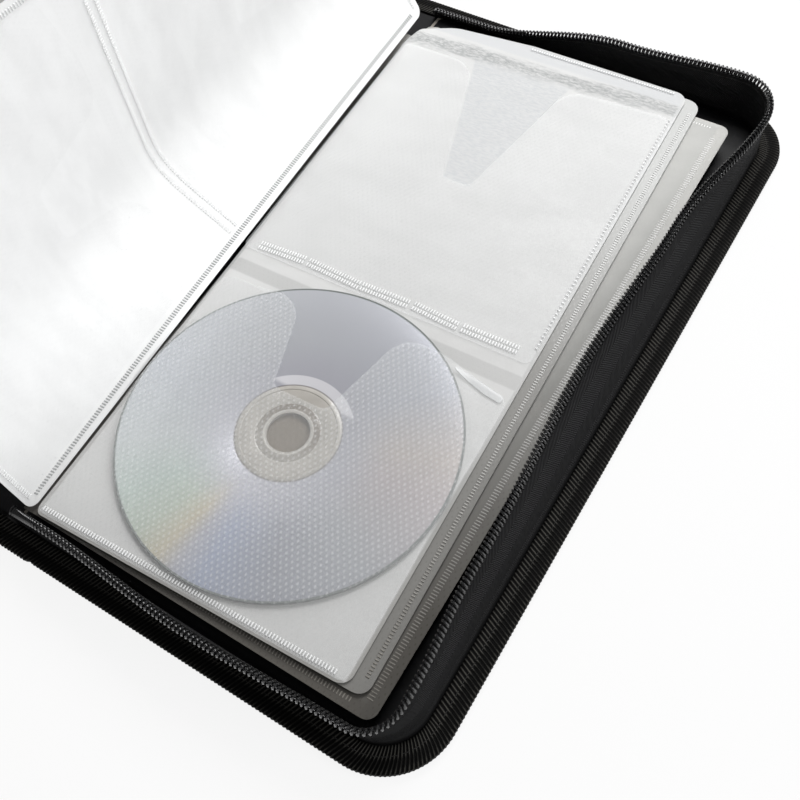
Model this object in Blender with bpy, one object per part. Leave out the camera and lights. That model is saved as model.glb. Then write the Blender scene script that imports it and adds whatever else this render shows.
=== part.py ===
# Zip-round disc wallet, lying open, with sleeve leaves and one disc.
# Metres. Z is up, Y runs along the spine and X points to the back half.
# The origin is the middle of the spine, on the surface that the wallet lies on.
import math

import bpy
import bmesh
from mathutils import Matrix, Vector

# Driving dimensions of the case
CASE_LENGTH = 0.3042
COVER_WIDTH = 0.1672
CORNER_RADIUS = 0.025
PANEL_THICKNESS = 0.0012
BOARD_THICKNESS = 0.0016
LINING_THICKNESS = 0.0005
RIBBON_THICKNESS = 0.0006
RIBBON_WIDTH = 0.0085
RIBBON_EDGE_ROUND = 0.0004
GAP = 0.0003
BOARD_HINGE_MARGIN = 0.0026
BOARD_WALL_MARGIN = 0.0008
LINING_HINGE_MARGIN = 0.0016

# Driving dimensions of the zip
TAPE_HEIGHT = 0.01975
TAPE_THICKNESS = 0.0009
COIL_RADIUS = 0.00115
SLIDER_LENGTH = 0.011
SLIDER_WIDTH = 0.0074
SLIDER_HEIGHT = 0.0046
SLIDER_PLATE = 0.0011
SLIDER_FROM_HINGE = 0.0118
SLIDER_FROM_END = 0.0042
BRIDGE_THICKNESS = 0.002
BRIDGE_BAR = 0.0011
PULL_LENGTH = 0.021
PULL_WIDTH = 0.0056
PULL_THICKNESS = 0.0011
PULL_TILT = math.radians(3)

# Driving dimensions of the sleeve leaves and the disc
LEAF_WIDTH = 0.1236
LEAF_FROM_END = 0.0132
LEAF_TO_END = 0.0215
LEAF_LENGTH = CASE_LENGTH - LEAF_FROM_END - LEAF_TO_END
LEAF_THICKNESS = 0.0005
LEAF_CORNER = 0.004
LEAF_SKEW = math.radians(2.1)
GUTTER_FROM_HINGE = 0.0113
UNDER_LEAF_OVERHANG = 0.007
FILM_THICKNESS = 0.0003
FILM_MARGIN = 0.0008
STACK_WIDTH = 0.1425
STACK_SHORTER = 0.0045
STACK_LENGTH = LEAF_LENGTH - STACK_SHORTER
STACK_THICKNESS = 0.0081
STACK_LAYERS = 4
STACK_STEP = 0.0012
STACK_FROM_HINGE = 0.0028
BINDING_THICKNESS = 0.0006
TURNING_LEAF_WIDTH = 0.13
DISC_RADIUS = 0.06
DISC_THICKNESS = 0.0012
DISC_HOLE_RADIUS = 0.0075
DISC_RIM_RADIUS = 0.0172
DISC_RIM_WIDTH = 0.0012
DISC_RIM_HEIGHT = 0.00015
DISC_CLEARANCE = 0.0021
DISC_FROM_LEAF_END = 0.0638

# Heights that follow from the layers
PANEL_Z = RIBBON_THICKNESS + GAP
PANEL_TOP = PANEL_Z + PANEL_THICKNESS
RIBBON_LIP_Z = PANEL_TOP + GAP
RIBBON_TOP = RIBBON_LIP_Z + RIBBON_THICKNESS
BOARD_Z = PANEL_TOP + GAP
LINING_Z = BOARD_Z + BOARD_THICKNESS + GAP
SPINE_LINING_Z = PANEL_TOP + GAP
HINGE_Z = SPINE_LINING_Z + LINING_THICKNESS
STACK_Z = LINING_Z + LINING_THICKNESS + GAP
UNDER_LEAF_Z = STACK_Z + STACK_THICKNESS + GAP
TOP_LEAF_Z = UNDER_LEAF_Z + LEAF_THICKNESS + GAP
FILM_Z = TOP_LEAF_Z + LEAF_THICKNESS + GAP
DISC_TOP = FILM_Z + DISC_THICKNESS + DISC_RIM_HEIGHT

# The two zip coils meet halfway up the closed case, so the spine is as wide as both walls.
COIL_TOP = BOARD_Z + TAPE_HEIGHT + GAP + 2 * COIL_RADIUS
SPINE_WIDTH = 2 * (COIL_TOP + GAP / 2 - HINGE_Z)
HINGE_X = SPINE_WIDTH / 2
OUTER_X = HINGE_X + COVER_WIDTH
END_Y = CASE_LENGTH / 2
WALL_INSET = RIBBON_WIDTH + GAP
BOARD_INSET = WALL_INSET + TAPE_THICKNESS + BOARD_WALL_MARGIN

# How the back wall stands, from the lower end of the spine round to the upper end:
# run of the edge, part of the way along it, lean inwards as a share of the tape's height,
# and part of the full height. The face is drawn at these shares of its rise.
WALL_STATIONS = (
    ("lower", 0.0, 0.101, 0.3),
    ("lower", 0.16, 0.051, 0.9),
    ("lower", 0.6, -0.127, 1.0),
    ("lower", 1.0, -0.051, 1.0),
    ("side", 0.0, 0.278, 1.0),
    ("side", 0.17, 0.430, 1.0),
    ("side", 0.52, 0.648, 1.0),
    ("side", 0.76, 0.481, 1.0),
    ("side", 1.0, 0.051, 1.0),
    ("upper", 0.0, -0.101, 1.0),
    ("upper", 0.35, 0.076, 0.95),
    ("upper", 0.8, 0.177, 0.4),
    ("upper", 1.0, 0.101, 0.28),
)
FACE_LEVELS = (0, 0.3, 0.65, 1)
FACE_CURVE = 1.4
ARC_STEPS = 8
WALL_STEP = 0.014
ROUND_STEPS = 6

for old in list(bpy.data.objects):
    bpy.data.objects.remove(old, do_unlink=True)


def finish(name, colour, roughness, metallic=0.0, alpha=1.0):
    """A plain Principled material."""
    material = bpy.data.materials.get(name)
    if material is None:
        material = bpy.data.materials.new(name)
        material.use_nodes = True
        shader = material.node_tree.nodes["Principled BSDF"]
        shader.inputs["Base Color"].default_value = (*colour, 1.0)
        shader.inputs["Roughness"].default_value = roughness
        shader.inputs["Metallic"].default_value = metallic
        shader.inputs["Alpha"].default_value = alpha
    return material


FABRIC = finish("black_nylon", (0.016, 0.015, 0.016), 0.85)
RIBBON = finish("black_ribbon", (0.022, 0.02, 0.018), 0.75)
COIL = finish("black_coil", (0.012, 0.012, 0.013), 0.3)
LINER = finish("white_nonwoven", (0.86, 0.88, 0.9), 0.8)
FILM = finish("clear_film", (0.93, 0.95, 0.97), 0.25, alpha=0.4)
BOARD = finish("grey_board", (0.35, 0.33, 0.3), 0.9)
DISC = finish("disc_silver", (0.72, 0.73, 0.78), 0.2, metallic=0.8)
PAINTED = finish("black_painted_metal", (0.02, 0.02, 0.022), 0.35, metallic=0.3)


def empty(name, place):
    """A carrier for the pieces that move together."""
    carrier = bpy.data.objects.new(name, None)
    carrier.location = place
    bpy.context.scene.collection.objects.link(carrier)
    return carrier


def place_mesh(name, builder, material, carrier=None):
    """Turn a finished bmesh, built in case coordinates, into a named object."""
    bmesh.ops.remove_doubles(builder, verts=builder.verts, dist=1e-7)
    bmesh.ops.recalc_face_normals(builder, faces=builder.faces)
    mesh = bpy.data.meshes.new(name)
    if carrier is not None:
        bmesh.ops.translate(builder, verts=builder.verts, vec=-carrier.location)
    builder.to_mesh(mesh)
    builder.free()
    mesh.materials.append(material)
    thing = bpy.data.objects.new(name, mesh)
    thing.parent = carrier
    bpy.context.scene.collection.objects.link(thing)
    return thing


def skin_rings(builder, rings):
    """Join rings of equally many points into one closed skin with capped ends."""
    loops = [[builder.verts.new(point) for point in ring] for ring in rings]
    for lower, upper in zip(loops, loops[1:]):
        for here in range(len(lower)):
            there = (here + 1) % len(lower)
            builder.faces.new((lower[here], lower[there], upper[there], upper[here]))
    builder.faces.new(list(reversed(loops[0])))
    builder.faces.new(loops[-1])


def rounded_outline(corners, steps=ROUND_STEPS):
    """Points round a polygon, with an arc at each corner (x, y, radius)."""
    points = []
    for index, (x, y, radius) in enumerate(corners):
        corner = Vector((x, y))
        if radius == 0:
            points.append(corner)
            continue
        before = (Vector(corners[index - 1][:2]) - corner).normalized()
        after = (Vector(corners[(index + 1) % len(corners)][:2]) - corner).normalized()
        half_angle = before.angle(after) / 2
        reach = radius / math.tan(half_angle)
        centre = corner + (before + after).normalized() * radius / math.sin(half_angle)
        start = corner + before * reach - centre
        turn = start.angle_signed(corner + after * reach - centre)
        for step in range(steps + 1):
            points.append(centre + Matrix.Rotation(-turn * step / steps, 2) @ start)
    return points


def plate(name, outline, low, high, material, carrier=None):
    """A flat plate of the outline between two heights."""
    builder = bmesh.new()
    rings = [[Vector((x, y, height)) for x, y in outline] for height in (low, high)]
    skin_rings(builder, rings)
    return place_mesh(name, builder, material, carrier)


def combine(target, tool, operation):
    """Join or cut with a second solid, which is used up."""
    modifier = target.modifiers.new(operation.lower(), "BOOLEAN")
    modifier.object = tool
    modifier.operation = operation
    bpy.context.view_layer.update()
    graph = bpy.context.evaluated_depsgraph_get()
    mesh = bpy.data.meshes.new_from_object(target.evaluated_get(graph))
    target.modifiers.clear()
    old_mesh = target.data
    target.data = mesh
    bpy.data.meshes.remove(old_mesh)
    bpy.data.objects.remove(tool, do_unlink=True)


def half_outline(side, inset, hinge_margin):
    """Plan of one half of the case, inset from its edge."""
    near = HINGE_X + hinge_margin
    far = OUTER_X - inset
    end = END_Y - inset
    radius = CORNER_RADIUS - inset
    corners = [(near, -end, 0), (far, -end, radius), (far, end, radius), (near, end, 0)]
    return [(side * x, y) for x, y in rounded_outline(corners, ARC_STEPS)]


def edge_stations(step=None):
    """Points along the edge of the back half, each with its inward direction and its run."""
    near = HINGE_X + GAP
    far = OUTER_X - CORNER_RADIUS
    high = END_Y - CORNER_RADIUS
    runs = {
        "lower": (Vector((near, -END_Y)), Vector((far, -END_Y)), Vector((0, 1))),
        "side": (Vector((OUTER_X, -high)), Vector((OUTER_X, high)), Vector((-1, 0))),
        "upper": (Vector((far, END_Y)), Vector((near, END_Y)), Vector((0, -1))),
    }
    stations = []
    for name, (start, end, inward) in runs.items():
        if name != "lower":
            turn_from = stations[-1][1]
            centre = stations[-1][0] + turn_from * CORNER_RADIUS
            for index in range(1, ARC_STEPS):
                part = index / ARC_STEPS
                direction = Matrix.Rotation(part * math.pi / 2, 2) @ turn_from
                stations.append((centre - direction * CORNER_RADIUS, direction, name, part - 1))
        count = 1 if step is None else max(1, round((end - start).length / step))
        for index in range(count + 1):
            part = index / count
            stations.append((start.lerp(end, part), inward, name, part))
    return stations


def sweep_edge(builder, side, stations, sections):
    """Carry a section of (inset, height) points along the edge of one half."""
    rings = []
    for (point, inward, *_), section in zip(stations, sections):
        ring = []
        for inset, height in section:
            spot = point + inward * inset
            ring.append(Vector((side * spot.x, spot.y, height)))
        rings.append(ring)
    skin_rings(builder, rings)


def ribbon_section():
    """Folded binding ribbon: a lip under the panel, a rounded edge and a lip over it."""
    soft = RIBBON_EDGE_ROUND
    return (
        (RIBBON_WIDTH, 0),
        (RIBBON_WIDTH, RIBBON_THICKNESS),
        (RIBBON_THICKNESS, RIBBON_THICKNESS),
        (RIBBON_THICKNESS, RIBBON_LIP_Z),
        (RIBBON_WIDTH, RIBBON_LIP_Z),
        (RIBBON_WIDTH, RIBBON_TOP),
        (soft, RIBBON_TOP),
        (0, RIBBON_TOP - soft),
        (0, soft),
        (soft, 0),
    )


def wall_stance(run, part):
    """Lean and height share of the wall, eased between the named stations."""
    order = ("lower", "side", "upper")
    spot = order.index(run) * 2 + part
    places = [order.index(name) * 2 + share for name, share, _, _ in WALL_STATIONS]
    for index in range(len(places) - 1):
        if spot <= places[index + 1] + 1e-9:
            share = (spot - places[index]) / (places[index + 1] - places[index])
            ease = share * share * (3 - 2 * share)
            _, _, lean, height = WALL_STATIONS[index]
            _, _, next_lean, next_height = WALL_STATIONS[index + 1]
            return lean + (next_lean - lean) * ease, height + (next_height - height) * ease
    return WALL_STATIONS[-1][2:]


def wall_curve(lean, share):
    """Outer face of the leaning tape from its foot to its top edge, as (inset, height)."""
    reach = TAPE_HEIGHT * share - (STACK_Z - BOARD_Z)
    inward = TAPE_HEIGHT * lean
    rise = math.sqrt(reach ** 2 - inward ** 2)
    curve = [Vector((WALL_INSET, BOARD_Z))]
    for level in FACE_LEVELS:
        curve.append(Vector((WALL_INSET + inward * level ** FACE_CURVE, STACK_Z + rise * level)))
    return curve


def tape_section(lean, share):
    """The tape's section: its outer face and its inner face, one thickness apart."""
    outer = wall_curve(lean, share)
    inner = [outer[0] + Vector((TAPE_THICKNESS, 0))]
    for before, here in zip(outer, outer[1:]):
        along = (here - before).normalized()
        inner.append(here + Vector((along.y, -along.x)) * TAPE_THICKNESS)
    return outer + list(reversed(inner))


def coil_section(lean, share):
    """The coil's six-sided section, seated on the tape's top edge."""
    outer = wall_curve(lean, share)
    along = (outer[-1] - outer[-2]).normalized()
    across = Vector((along.y, -along.x))
    centre = outer[-1] + across * TAPE_THICKNESS / 2 + along * (GAP + COIL_RADIUS)
    section = []
    for index in range(6):
        angle = math.pi / 3 * index
        section.append(centre + across * math.sin(angle) * COIL_RADIUS + along * math.cos(angle) * COIL_RADIUS)
    return section


def make_half(prefix, side, carrier):
    """One half of the case: panel, board, lining, ribbon and its side of the zip."""
    panel_inset = RIBBON_THICKNESS + GAP
    plate(prefix + "_cover_panel", half_outline(side, panel_inset, GAP), PANEL_Z, PANEL_TOP, FABRIC, carrier)
    board_outline = half_outline(side, BOARD_INSET, BOARD_HINGE_MARGIN)
    plate(prefix + "_stiffener_board", board_outline, BOARD_Z, BOARD_Z + BOARD_THICKNESS, BOARD, carrier)
    lining_outline = half_outline(side, BOARD_INSET, LINING_HINGE_MARGIN)
    plate(prefix + "_lining", lining_outline, LINING_Z, LINING_Z + LINING_THICKNESS, FABRIC, carrier)

    builder = bmesh.new()
    stations = edge_stations()
    sweep_edge(builder, side, stations, [ribbon_section()] * len(stations))
    place_mesh(prefix + "_binding_ribbon", builder, RIBBON, carrier)

    stations = edge_stations(WALL_STEP)
    stances = [wall_stance(run, part) for _, _, run, part in stations]
    builder = bmesh.new()
    sweep_edge(builder, side, stations, [tape_section(*stance) for stance in stances])
    place_mesh(prefix + "_zip_tape", builder, FABRIC, carrier)
    builder = bmesh.new()
    sweep_edge(builder, side, stations, [coil_section(*stance) for stance in stances])
    place_mesh(prefix + "_zip_coil", builder, COIL, carrier)


def leaf_point(side, x, y):
    """A point of a leaf, x from the gutter and y from its lower edge, in case coordinates."""
    turned = Matrix.Rotation(LEAF_SKEW, 2) @ Vector((x, y))
    along = HINGE_X + GUTTER_FROM_HINGE + turned.x
    return (side * along, turned.y - END_Y + LEAF_FROM_END)


def leaf_outline(side, corners, steps=ROUND_STEPS):
    """An outline drawn on the leaf and placed in the case."""
    return [leaf_point(side, x, y) for x, y in rounded_outline(corners, steps)]


def sheet_corners(width, length):
    """The plain sheet of a leaf, with rounded corners."""
    edge = LEAF_CORNER
    left = LEAF_WIDTH - width
    return [(left, 0, edge), (LEAF_WIDTH, 0, edge), (LEAF_WIDTH, length, edge), (left, length, edge)]


# Thumb notches and mouths of the two pockets on a leaf, from the gutter and the lower edge.
POCKET_EDGE = 0.0003
MOUTH_TO_LEAF_END = 0.016
MOUTH_RISE = 0.007
UPPER_NOTCH_DEPTH = 0.058
LOWER_NOTCH_DEPTH = 0.0355
POCKET_SEAM = 0.0095
NOTCH_SLANT = 0.016
UPPER_NOTCH_FROM = 0.048
UPPER_NOTCH_TO = 0.0615
LOWER_NOTCH_FROM = 0.0465
LOWER_NOTCH_TO = 0.0675
LOWER_MOUTH = 0.1145
LOWER_NOTCH_FLOOR = LOWER_MOUTH - LOWER_NOTCH_DEPTH
UPPER_POCKET_LOW = LOWER_MOUTH + POCKET_SEAM
UPPER_MOUTH = LEAF_LENGTH - MOUTH_TO_LEAF_END
UPPER_MOUTH_RIGHT = UPPER_MOUTH + MOUTH_RISE
UPPER_NOTCH_FLOOR = UPPER_MOUTH - UPPER_NOTCH_DEPTH


def pocket_corners(low, floor, mouth, mouth_right, floor_left, floor_right):
    """A pocket film with its thumb notch: slanted on the gutter side, steep on the other."""
    left = POCKET_EDGE
    right = LEAF_WIDTH - FILM_MARGIN
    return [
        (left, low, 0.003),
        (right, low, 0.003),
        (right, mouth_right - 0.004, 0.003),
        (floor_right + NOTCH_SLANT, mouth_right, 0.012),
        (floor_right, floor, 0.004),
        (floor_left, floor, 0.003),
        (floor_left - NOTCH_SLANT, mouth, 0.009),
        (left, mouth - 0.004, 0.003),
    ]


def make_upper_pocket(name, side, carrier):
    mouth = (UPPER_MOUTH, UPPER_MOUTH_RIGHT)
    corners = pocket_corners(UPPER_POCKET_LOW, UPPER_NOTCH_FLOOR, *mouth, UPPER_NOTCH_FROM, UPPER_NOTCH_TO)
    plate(name, leaf_outline(side, corners), FILM_Z, FILM_Z + FILM_THICKNESS, FILM, carrier)


def make_lower_pocket(name, side, carrier, lift):
    """The lower film, raised over a disc by its welded sides where it holds one."""
    low = FILM_MARGIN
    mouth = (LOWER_MOUTH, LOWER_MOUTH)
    corners = pocket_corners(low, LOWER_NOTCH_FLOOR, *mouth, LOWER_NOTCH_FROM, LOWER_NOTCH_TO)
    under = FILM_Z + lift
    film = plate(name, leaf_outline(side, corners), under, under + FILM_THICKNESS, FILM, carrier)
    if lift == 0:
        return
    left = POCKET_EDGE
    right = LEAF_WIDTH - FILM_MARGIN
    top = LOWER_MOUTH - 0.008
    wall = FILM_THICKNESS
    welds = [
        (left, low, 0.003),
        (right, low, 0.003),
        (right, top, 0),
        (right - wall, top, 0),
        (right - wall, low + wall, 0.003 - wall),
        (left + wall, low + wall, 0.003 - wall),
        (left + wall, top, 0),
        (left, top, 0),
    ]
    sides = plate("weld_sides", leaf_outline(side, welds), FILM_Z, under + FILM_THICKNESS / 2, FILM, carrier)
    combine(film, sides, "UNION")


def make_leaf(name, side, low, width, carrier):
    outline = leaf_outline(side, sheet_corners(width, LEAF_LENGTH))
    plate(name, outline, low, low + LEAF_THICKNESS, LINER, carrier)


def make_under_leaf(name, side, carrier):
    """The leaf below the top one, which shows past its outer edge."""
    edge = LEAF_CORNER
    right = LEAF_WIDTH + UNDER_LEAF_OVERHANG
    corners = [(0, 0, edge), (right, 0, edge), (right, LEAF_LENGTH, edge), (0, LEAF_LENGTH, edge)]
    plate(name, leaf_outline(side, corners), UNDER_LEAF_Z, UNDER_LEAF_Z + LEAF_THICKNESS, LINER, carrier)


def make_stack(name, side, carrier):
    """The other leaves as one block: layers of uneven width, rolled over on the spine side."""
    low_y = -END_Y + LEAF_FROM_END - GAP
    high_y = low_y + STACK_LENGTH
    near = HINGE_X + STACK_FROM_HINGE
    builder = bmesh.new()
    rings = []
    for layer in range(STACK_LAYERS):
        uneven = STACK_STEP * ((layer * 2) % 3) + STACK_STEP * layer / 2
        for level in (layer, layer + 1):
            part = level / STACK_LAYERS
            roll = STACK_THICKNESS * (1 - math.sqrt(1 - 0.9 * part * part))
            x0 = near + roll
            x1 = near + STACK_WIDTH - uneven
            y0 = low_y + uneven / 2
            y1 = high_y - uneven
            corners = [
                (x0, y0, LEAF_CORNER),
                (x1, y0, LEAF_CORNER),
                (x1, y1, LEAF_CORNER),
                (x0, y1, LEAF_CORNER),
            ]
            height = STACK_Z + STACK_THICKNESS * part
            rings.append([Vector((side * x, y, height)) for x, y in rounded_outline(corners)])
    skin_rings(builder, rings)
    place_mesh(name, builder, LINER, carrier)


def make_disc(carrier):
    """A 120 mm disc with its stacking rim, turned about its own axis."""
    centre = Vector((*leaf_point(1, DISC_RADIUS + DISC_CLEARANCE, DISC_FROM_LEAF_END), 0))
    rim = DISC_RIM_RADIUS
    low = FILM_Z
    high = low + DISC_THICKNESS
    crest = high + DISC_RIM_HEIGHT
    profile = [
        (DISC_HOLE_RADIUS, low),
        (DISC_RADIUS, low),
        (DISC_RADIUS, high),
        (rim + DISC_RIM_WIDTH, high),
        (rim + DISC_RIM_WIDTH, crest),
        (rim, crest),
        (rim, high),
        (DISC_HOLE_RADIUS, high),
    ]
    builder = bmesh.new()
    verts = [builder.verts.new(centre + Vector((radius, 0, height))) for radius, height in profile]
    edges = [builder.edges.new((verts[index - 1], verts[index])) for index in range(len(verts))]
    bmesh.ops.spin(
        builder,
        geom=verts + edges,
        cent=centre,
        axis=(0, 0, 1),
        angle=2 * math.pi,
        steps=56,
        use_merge=True,
    )
    place_mesh("disc", builder, DISC, carrier)


def turning_profile(share):
    """The lifted leaf's curve from the gutter, at a share of the way along the spine."""
    middle = math.sin(math.pi * share)
    root_angle = math.radians(80 - 45 * middle - 25 * share)
    far_angle = math.radians(77)
    steps = 18
    spot = Vector((0, 0))
    curve = [spot.copy()]
    for step in range(steps):
        way = (step + 0.5) / steps
        ease = min(1, max(0, (way - 0.2) / 0.23))
        curl = min(1, max(0, (way - 0.75) / 0.25))
        angle = root_angle + (far_angle - root_angle) * ease * ease * (3 - 2 * ease)
        angle -= math.radians(38) * curl
        spot = spot + Vector((-math.cos(angle), math.sin(angle))) * TURNING_LEAF_WIDTH / steps
        curve.append(spot.copy())
    return curve


def make_turning_leaf(carrier):
    """The leaf being turned: it rises from the gutter and leans to the front half."""
    builder = bmesh.new()
    rings = []
    corner = LEAF_CORNER
    places = [0, corner * 0.3, corner, LEAF_LENGTH * 0.2, LEAF_LENGTH * 0.35, LEAF_LENGTH * 0.5]
    places += [LEAF_LENGTH - place for place in reversed(places[:-1])]
    for place in places:
        curve = turning_profile(place / LEAF_LENGTH)
        trim = max(0, corner - min(place, LEAF_LENGTH - place)) / corner
        trim = (1 - math.sqrt(1 - trim * trim)) * corner
        curve[0] = curve[0].lerp(curve[1], trim / (curve[1] - curve[0]).length)
        curve[-1] = curve[-1].lerp(curve[-2], trim / (curve[-1] - curve[-2]).length)
        outer = []
        inner = []
        for index, spot in enumerate(curve):
            before = curve[max(0, index - 1)]
            after = curve[min(len(curve) - 1, index + 1)]
            along = (after - before).normalized()
            thick = Vector((along.y, -along.x)) * LEAF_THICKNESS / 2
            outer.append(spot + thick)
            inner.append(spot - thick)
        ring = []
        for spot in outer + list(reversed(inner)):
            x, y = leaf_point(1, spot.x - LEAF_THICKNESS - GAP, place)
            ring.append(Vector((x, y, TOP_LEAF_Z + spot.y)))
        rings.append(ring)
    skin_rings(builder, rings)
    place_mesh("turning_leaf", builder, LINER, carrier)


def make_spine(carrier):
    """The spine: panel, lining, the strip that holds the leaves and two ribbon ends."""
    near = HINGE_X - GAP
    end = END_Y - RIBBON_THICKNESS - GAP
    outline = [(-near, -end), (near, -end), (near, end), (-near, end)]
    plate("spine_panel", outline, PANEL_Z, PANEL_TOP, FABRIC, carrier)
    end = END_Y - WALL_INSET
    outline = [(-near, -end), (near, -end), (near, end), (-near, end)]
    plate("spine_lining", outline, SPINE_LINING_Z, HINGE_Z, FABRIC, carrier)

    low = -END_Y + LEAF_FROM_END
    high = low + STACK_LENGTH
    strip = [(-near, low, 0.002), (near, low, 0.002), (near, high, 0.002), (-near, high, 0.002)]
    strip_z = HINGE_Z + GAP
    plate("leaf_binding_strip", rounded_outline(strip), strip_z, strip_z + BINDING_THICKNESS, LINER, carrier)

    for name, sign in (("spine_ribbon_lower", -1), ("spine_ribbon_upper", 1)):
        builder = bmesh.new()
        rings = []
        for x in (-near, near):
            rings.append([Vector((x, sign * (END_Y - inset), height)) for inset, height in ribbon_section()])
        skin_rings(builder, rings)
        place_mesh(name, builder, RIBBON, carrier)


SLIDER_X = HINGE_X - SLIDER_FROM_HINGE
SLIDER_Y = -END_Y + SLIDER_FROM_END
SLIDER_Z = RIBBON_TOP + GAP
PULL_AXIS_Z = SLIDER_Z + SLIDER_HEIGHT + GAP + BRIDGE_BAR


def slider_plate(low, high, carrier, name):
    """One wing of the slider: broad where the two coils part, narrow where they leave joined."""
    half_length = SLIDER_LENGTH / 2
    broad = SLIDER_WIDTH / 2
    narrow = broad * 0.72
    corners = [
        (SLIDER_X - half_length, SLIDER_Y - narrow, 0.001),
        (SLIDER_X + half_length, SLIDER_Y - broad, 0.0016),
        (SLIDER_X + half_length, SLIDER_Y + broad, 0.0016),
        (SLIDER_X - half_length, SLIDER_Y + narrow, 0.001),
    ]
    return plate(name, rounded_outline(corners, 4), low, high, PAINTED, carrier)


def block(name, low, high, carrier):
    """A small box between two corners."""
    outline = [(low[0], low[1]), (high[0], low[1]), (high[0], high[1]), (low[0], high[1])]
    return plate(name, outline, low[2], high[2], PAINTED, carrier)


def make_slider(carrier):
    """The slider: two wings, the wedge between them, side guides and the bridge for the pull."""
    top = SLIDER_Z + SLIDER_HEIGHT
    body = slider_plate(SLIDER_Z, SLIDER_Z + SLIDER_PLATE, carrier, "zip_slider")
    upper = slider_plate(top - SLIDER_PLATE, top, carrier, "upper_wing")
    inner_low = SLIDER_Z + SLIDER_PLATE / 2
    inner_high = top - SLIDER_PLATE / 2
    nose = SLIDER_X + SLIDER_LENGTH / 2
    wedge_outline = [(nose, SLIDER_Y - 0.0014), (nose, SLIDER_Y + 0.0014), (nose - 0.0045, SLIDER_Y)]
    wedge = plate("wedge", wedge_outline, inner_low, inner_high, PAINTED, carrier)
    combine(body, wedge, "UNION")
    combine(body, upper, "UNION")
    guide_reach = SLIDER_LENGTH * 0.3
    guide_height = (SLIDER_HEIGHT - 2 * SLIDER_PLATE) * 0.3
    for sign in (-1, 1):
        edge = SLIDER_Y + sign * SLIDER_WIDTH * 0.37
        for low, high in (
            (inner_low, SLIDER_Z + SLIDER_PLATE + guide_height),
            (top - SLIDER_PLATE - guide_height, inner_high),
        ):
            guide = block(
                "guide",
                (SLIDER_X - guide_reach, edge - 0.0004, low),
                (SLIDER_X + guide_reach, edge + 0.0004, high),
                carrier,
            )
            combine(body, guide, "UNION")
    reach = 2 * BRIDGE_BAR + GAP
    half = BRIDGE_THICKNESS / 2
    sink = top - SLIDER_PLATE / 2
    arch_top = PULL_AXIS_Z + BRIDGE_BAR + GAP + BRIDGE_BAR
    arch = block(
        "arch",
        (SLIDER_X - reach, SLIDER_Y - half, sink),
        (SLIDER_X + reach, SLIDER_Y + half, arch_top),
        carrier,
    )
    opening = block(
        "arch_opening",
        (SLIDER_X - reach + BRIDGE_BAR, SLIDER_Y - 2 * half, top),
        (SLIDER_X + reach - BRIDGE_BAR, SLIDER_Y + 2 * half, arch_top - BRIDGE_BAR),
        carrier,
    )
    combine(arch, opening, "DIFFERENCE")
    combine(body, arch, "UNION")


def make_pull(carrier):
    """The pull tab: its end bar lies in the bridge and its plate points along the spine."""
    half_bar = PULL_THICKNESS / 2
    half_width = PULL_WIDTH / 2
    slot_half = BRIDGE_THICKNESS / 2 + 2 * GAP
    slot_end = 4 * BRIDGE_BAR
    bottom = PULL_AXIS_Z - half_bar
    far = SLIDER_X - PULL_LENGTH + half_bar
    near = SLIDER_X + half_bar
    corners = [
        (far, SLIDER_Y - half_width, 0.002),
        (near, SLIDER_Y - half_width, 0),
        (near, SLIDER_Y + half_width, 0),
        (far, SLIDER_Y + half_width, 0.002),
    ]
    tab = plate("zip_pull", rounded_outline(corners, 4), bottom, bottom + PULL_THICKNESS, PAINTED, carrier)
    slot = block(
        "slot",
        (SLIDER_X - slot_end, SLIDER_Y - slot_half, bottom - PULL_THICKNESS),
        (SLIDER_X - half_bar, SLIDER_Y + slot_half, bottom + 2 * PULL_THICKNESS),
        carrier,
    )
    combine(tab, slot, "DIFFERENCE")
    grip_corners = [
        (far + 0.0022, SLIDER_Y - half_width * 0.4, 0.0008),
        (far + 0.0105, SLIDER_Y - half_width * 0.4, 0.0008),
        (far + 0.0105, SLIDER_Y + half_width * 0.4, 0.0008),
        (far + 0.0022, SLIDER_Y + half_width * 0.4, 0.0008),
    ]
    grip = plate(
        "grip",
        rounded_outline(grip_corners, 3),
        bottom - PULL_THICKNESS,
        bottom + 2 * PULL_THICKNESS,
        PAINTED,
        carrier,
    )
    combine(tab, grip, "DIFFERENCE")
    carrier.rotation_euler = (0, -PULL_TILT, 0)


back_half = empty("back_half", Vector((0, 0, 0)))
spine = empty("spine", Vector((HINGE_X, 0, HINGE_Z)))
front_half = empty("front_half", Vector((-HINGE_X, 0, HINGE_Z)))
pull_pivot = empty("pull_pivot", Vector((SLIDER_X, SLIDER_Y, PULL_AXIS_Z)))

make_half("back", 1, back_half)
make_stack("right_leaf_stack", 1, back_half)
make_under_leaf("right_under_leaf", 1, back_half)
make_leaf("right_top_leaf", 1, TOP_LEAF_Z, LEAF_WIDTH, back_half)
make_upper_pocket("right_upper_pocket", 1, back_half)
make_lower_pocket("right_lower_pocket", 1, back_half, DISC_TOP + GAP - FILM_Z)
make_disc(back_half)
make_turning_leaf(back_half)

make_spine(spine)
make_slider(spine)
make_pull(pull_pivot)

make_half("front", -1, front_half)
make_stack("left_leaf_stack", -1, front_half)
make_under_leaf("left_under_leaf", -1, front_half)
make_leaf("left_top_leaf", -1, TOP_LEAF_Z, LEAF_WIDTH, front_half)
make_upper_pocket("left_upper_pocket", -1, front_half)
make_lower_pocket("left_lower_pocket", -1, front_half, 0)
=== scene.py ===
import math

import bmesh
import bpy
from mathutils import Matrix, Vector, noise


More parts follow.
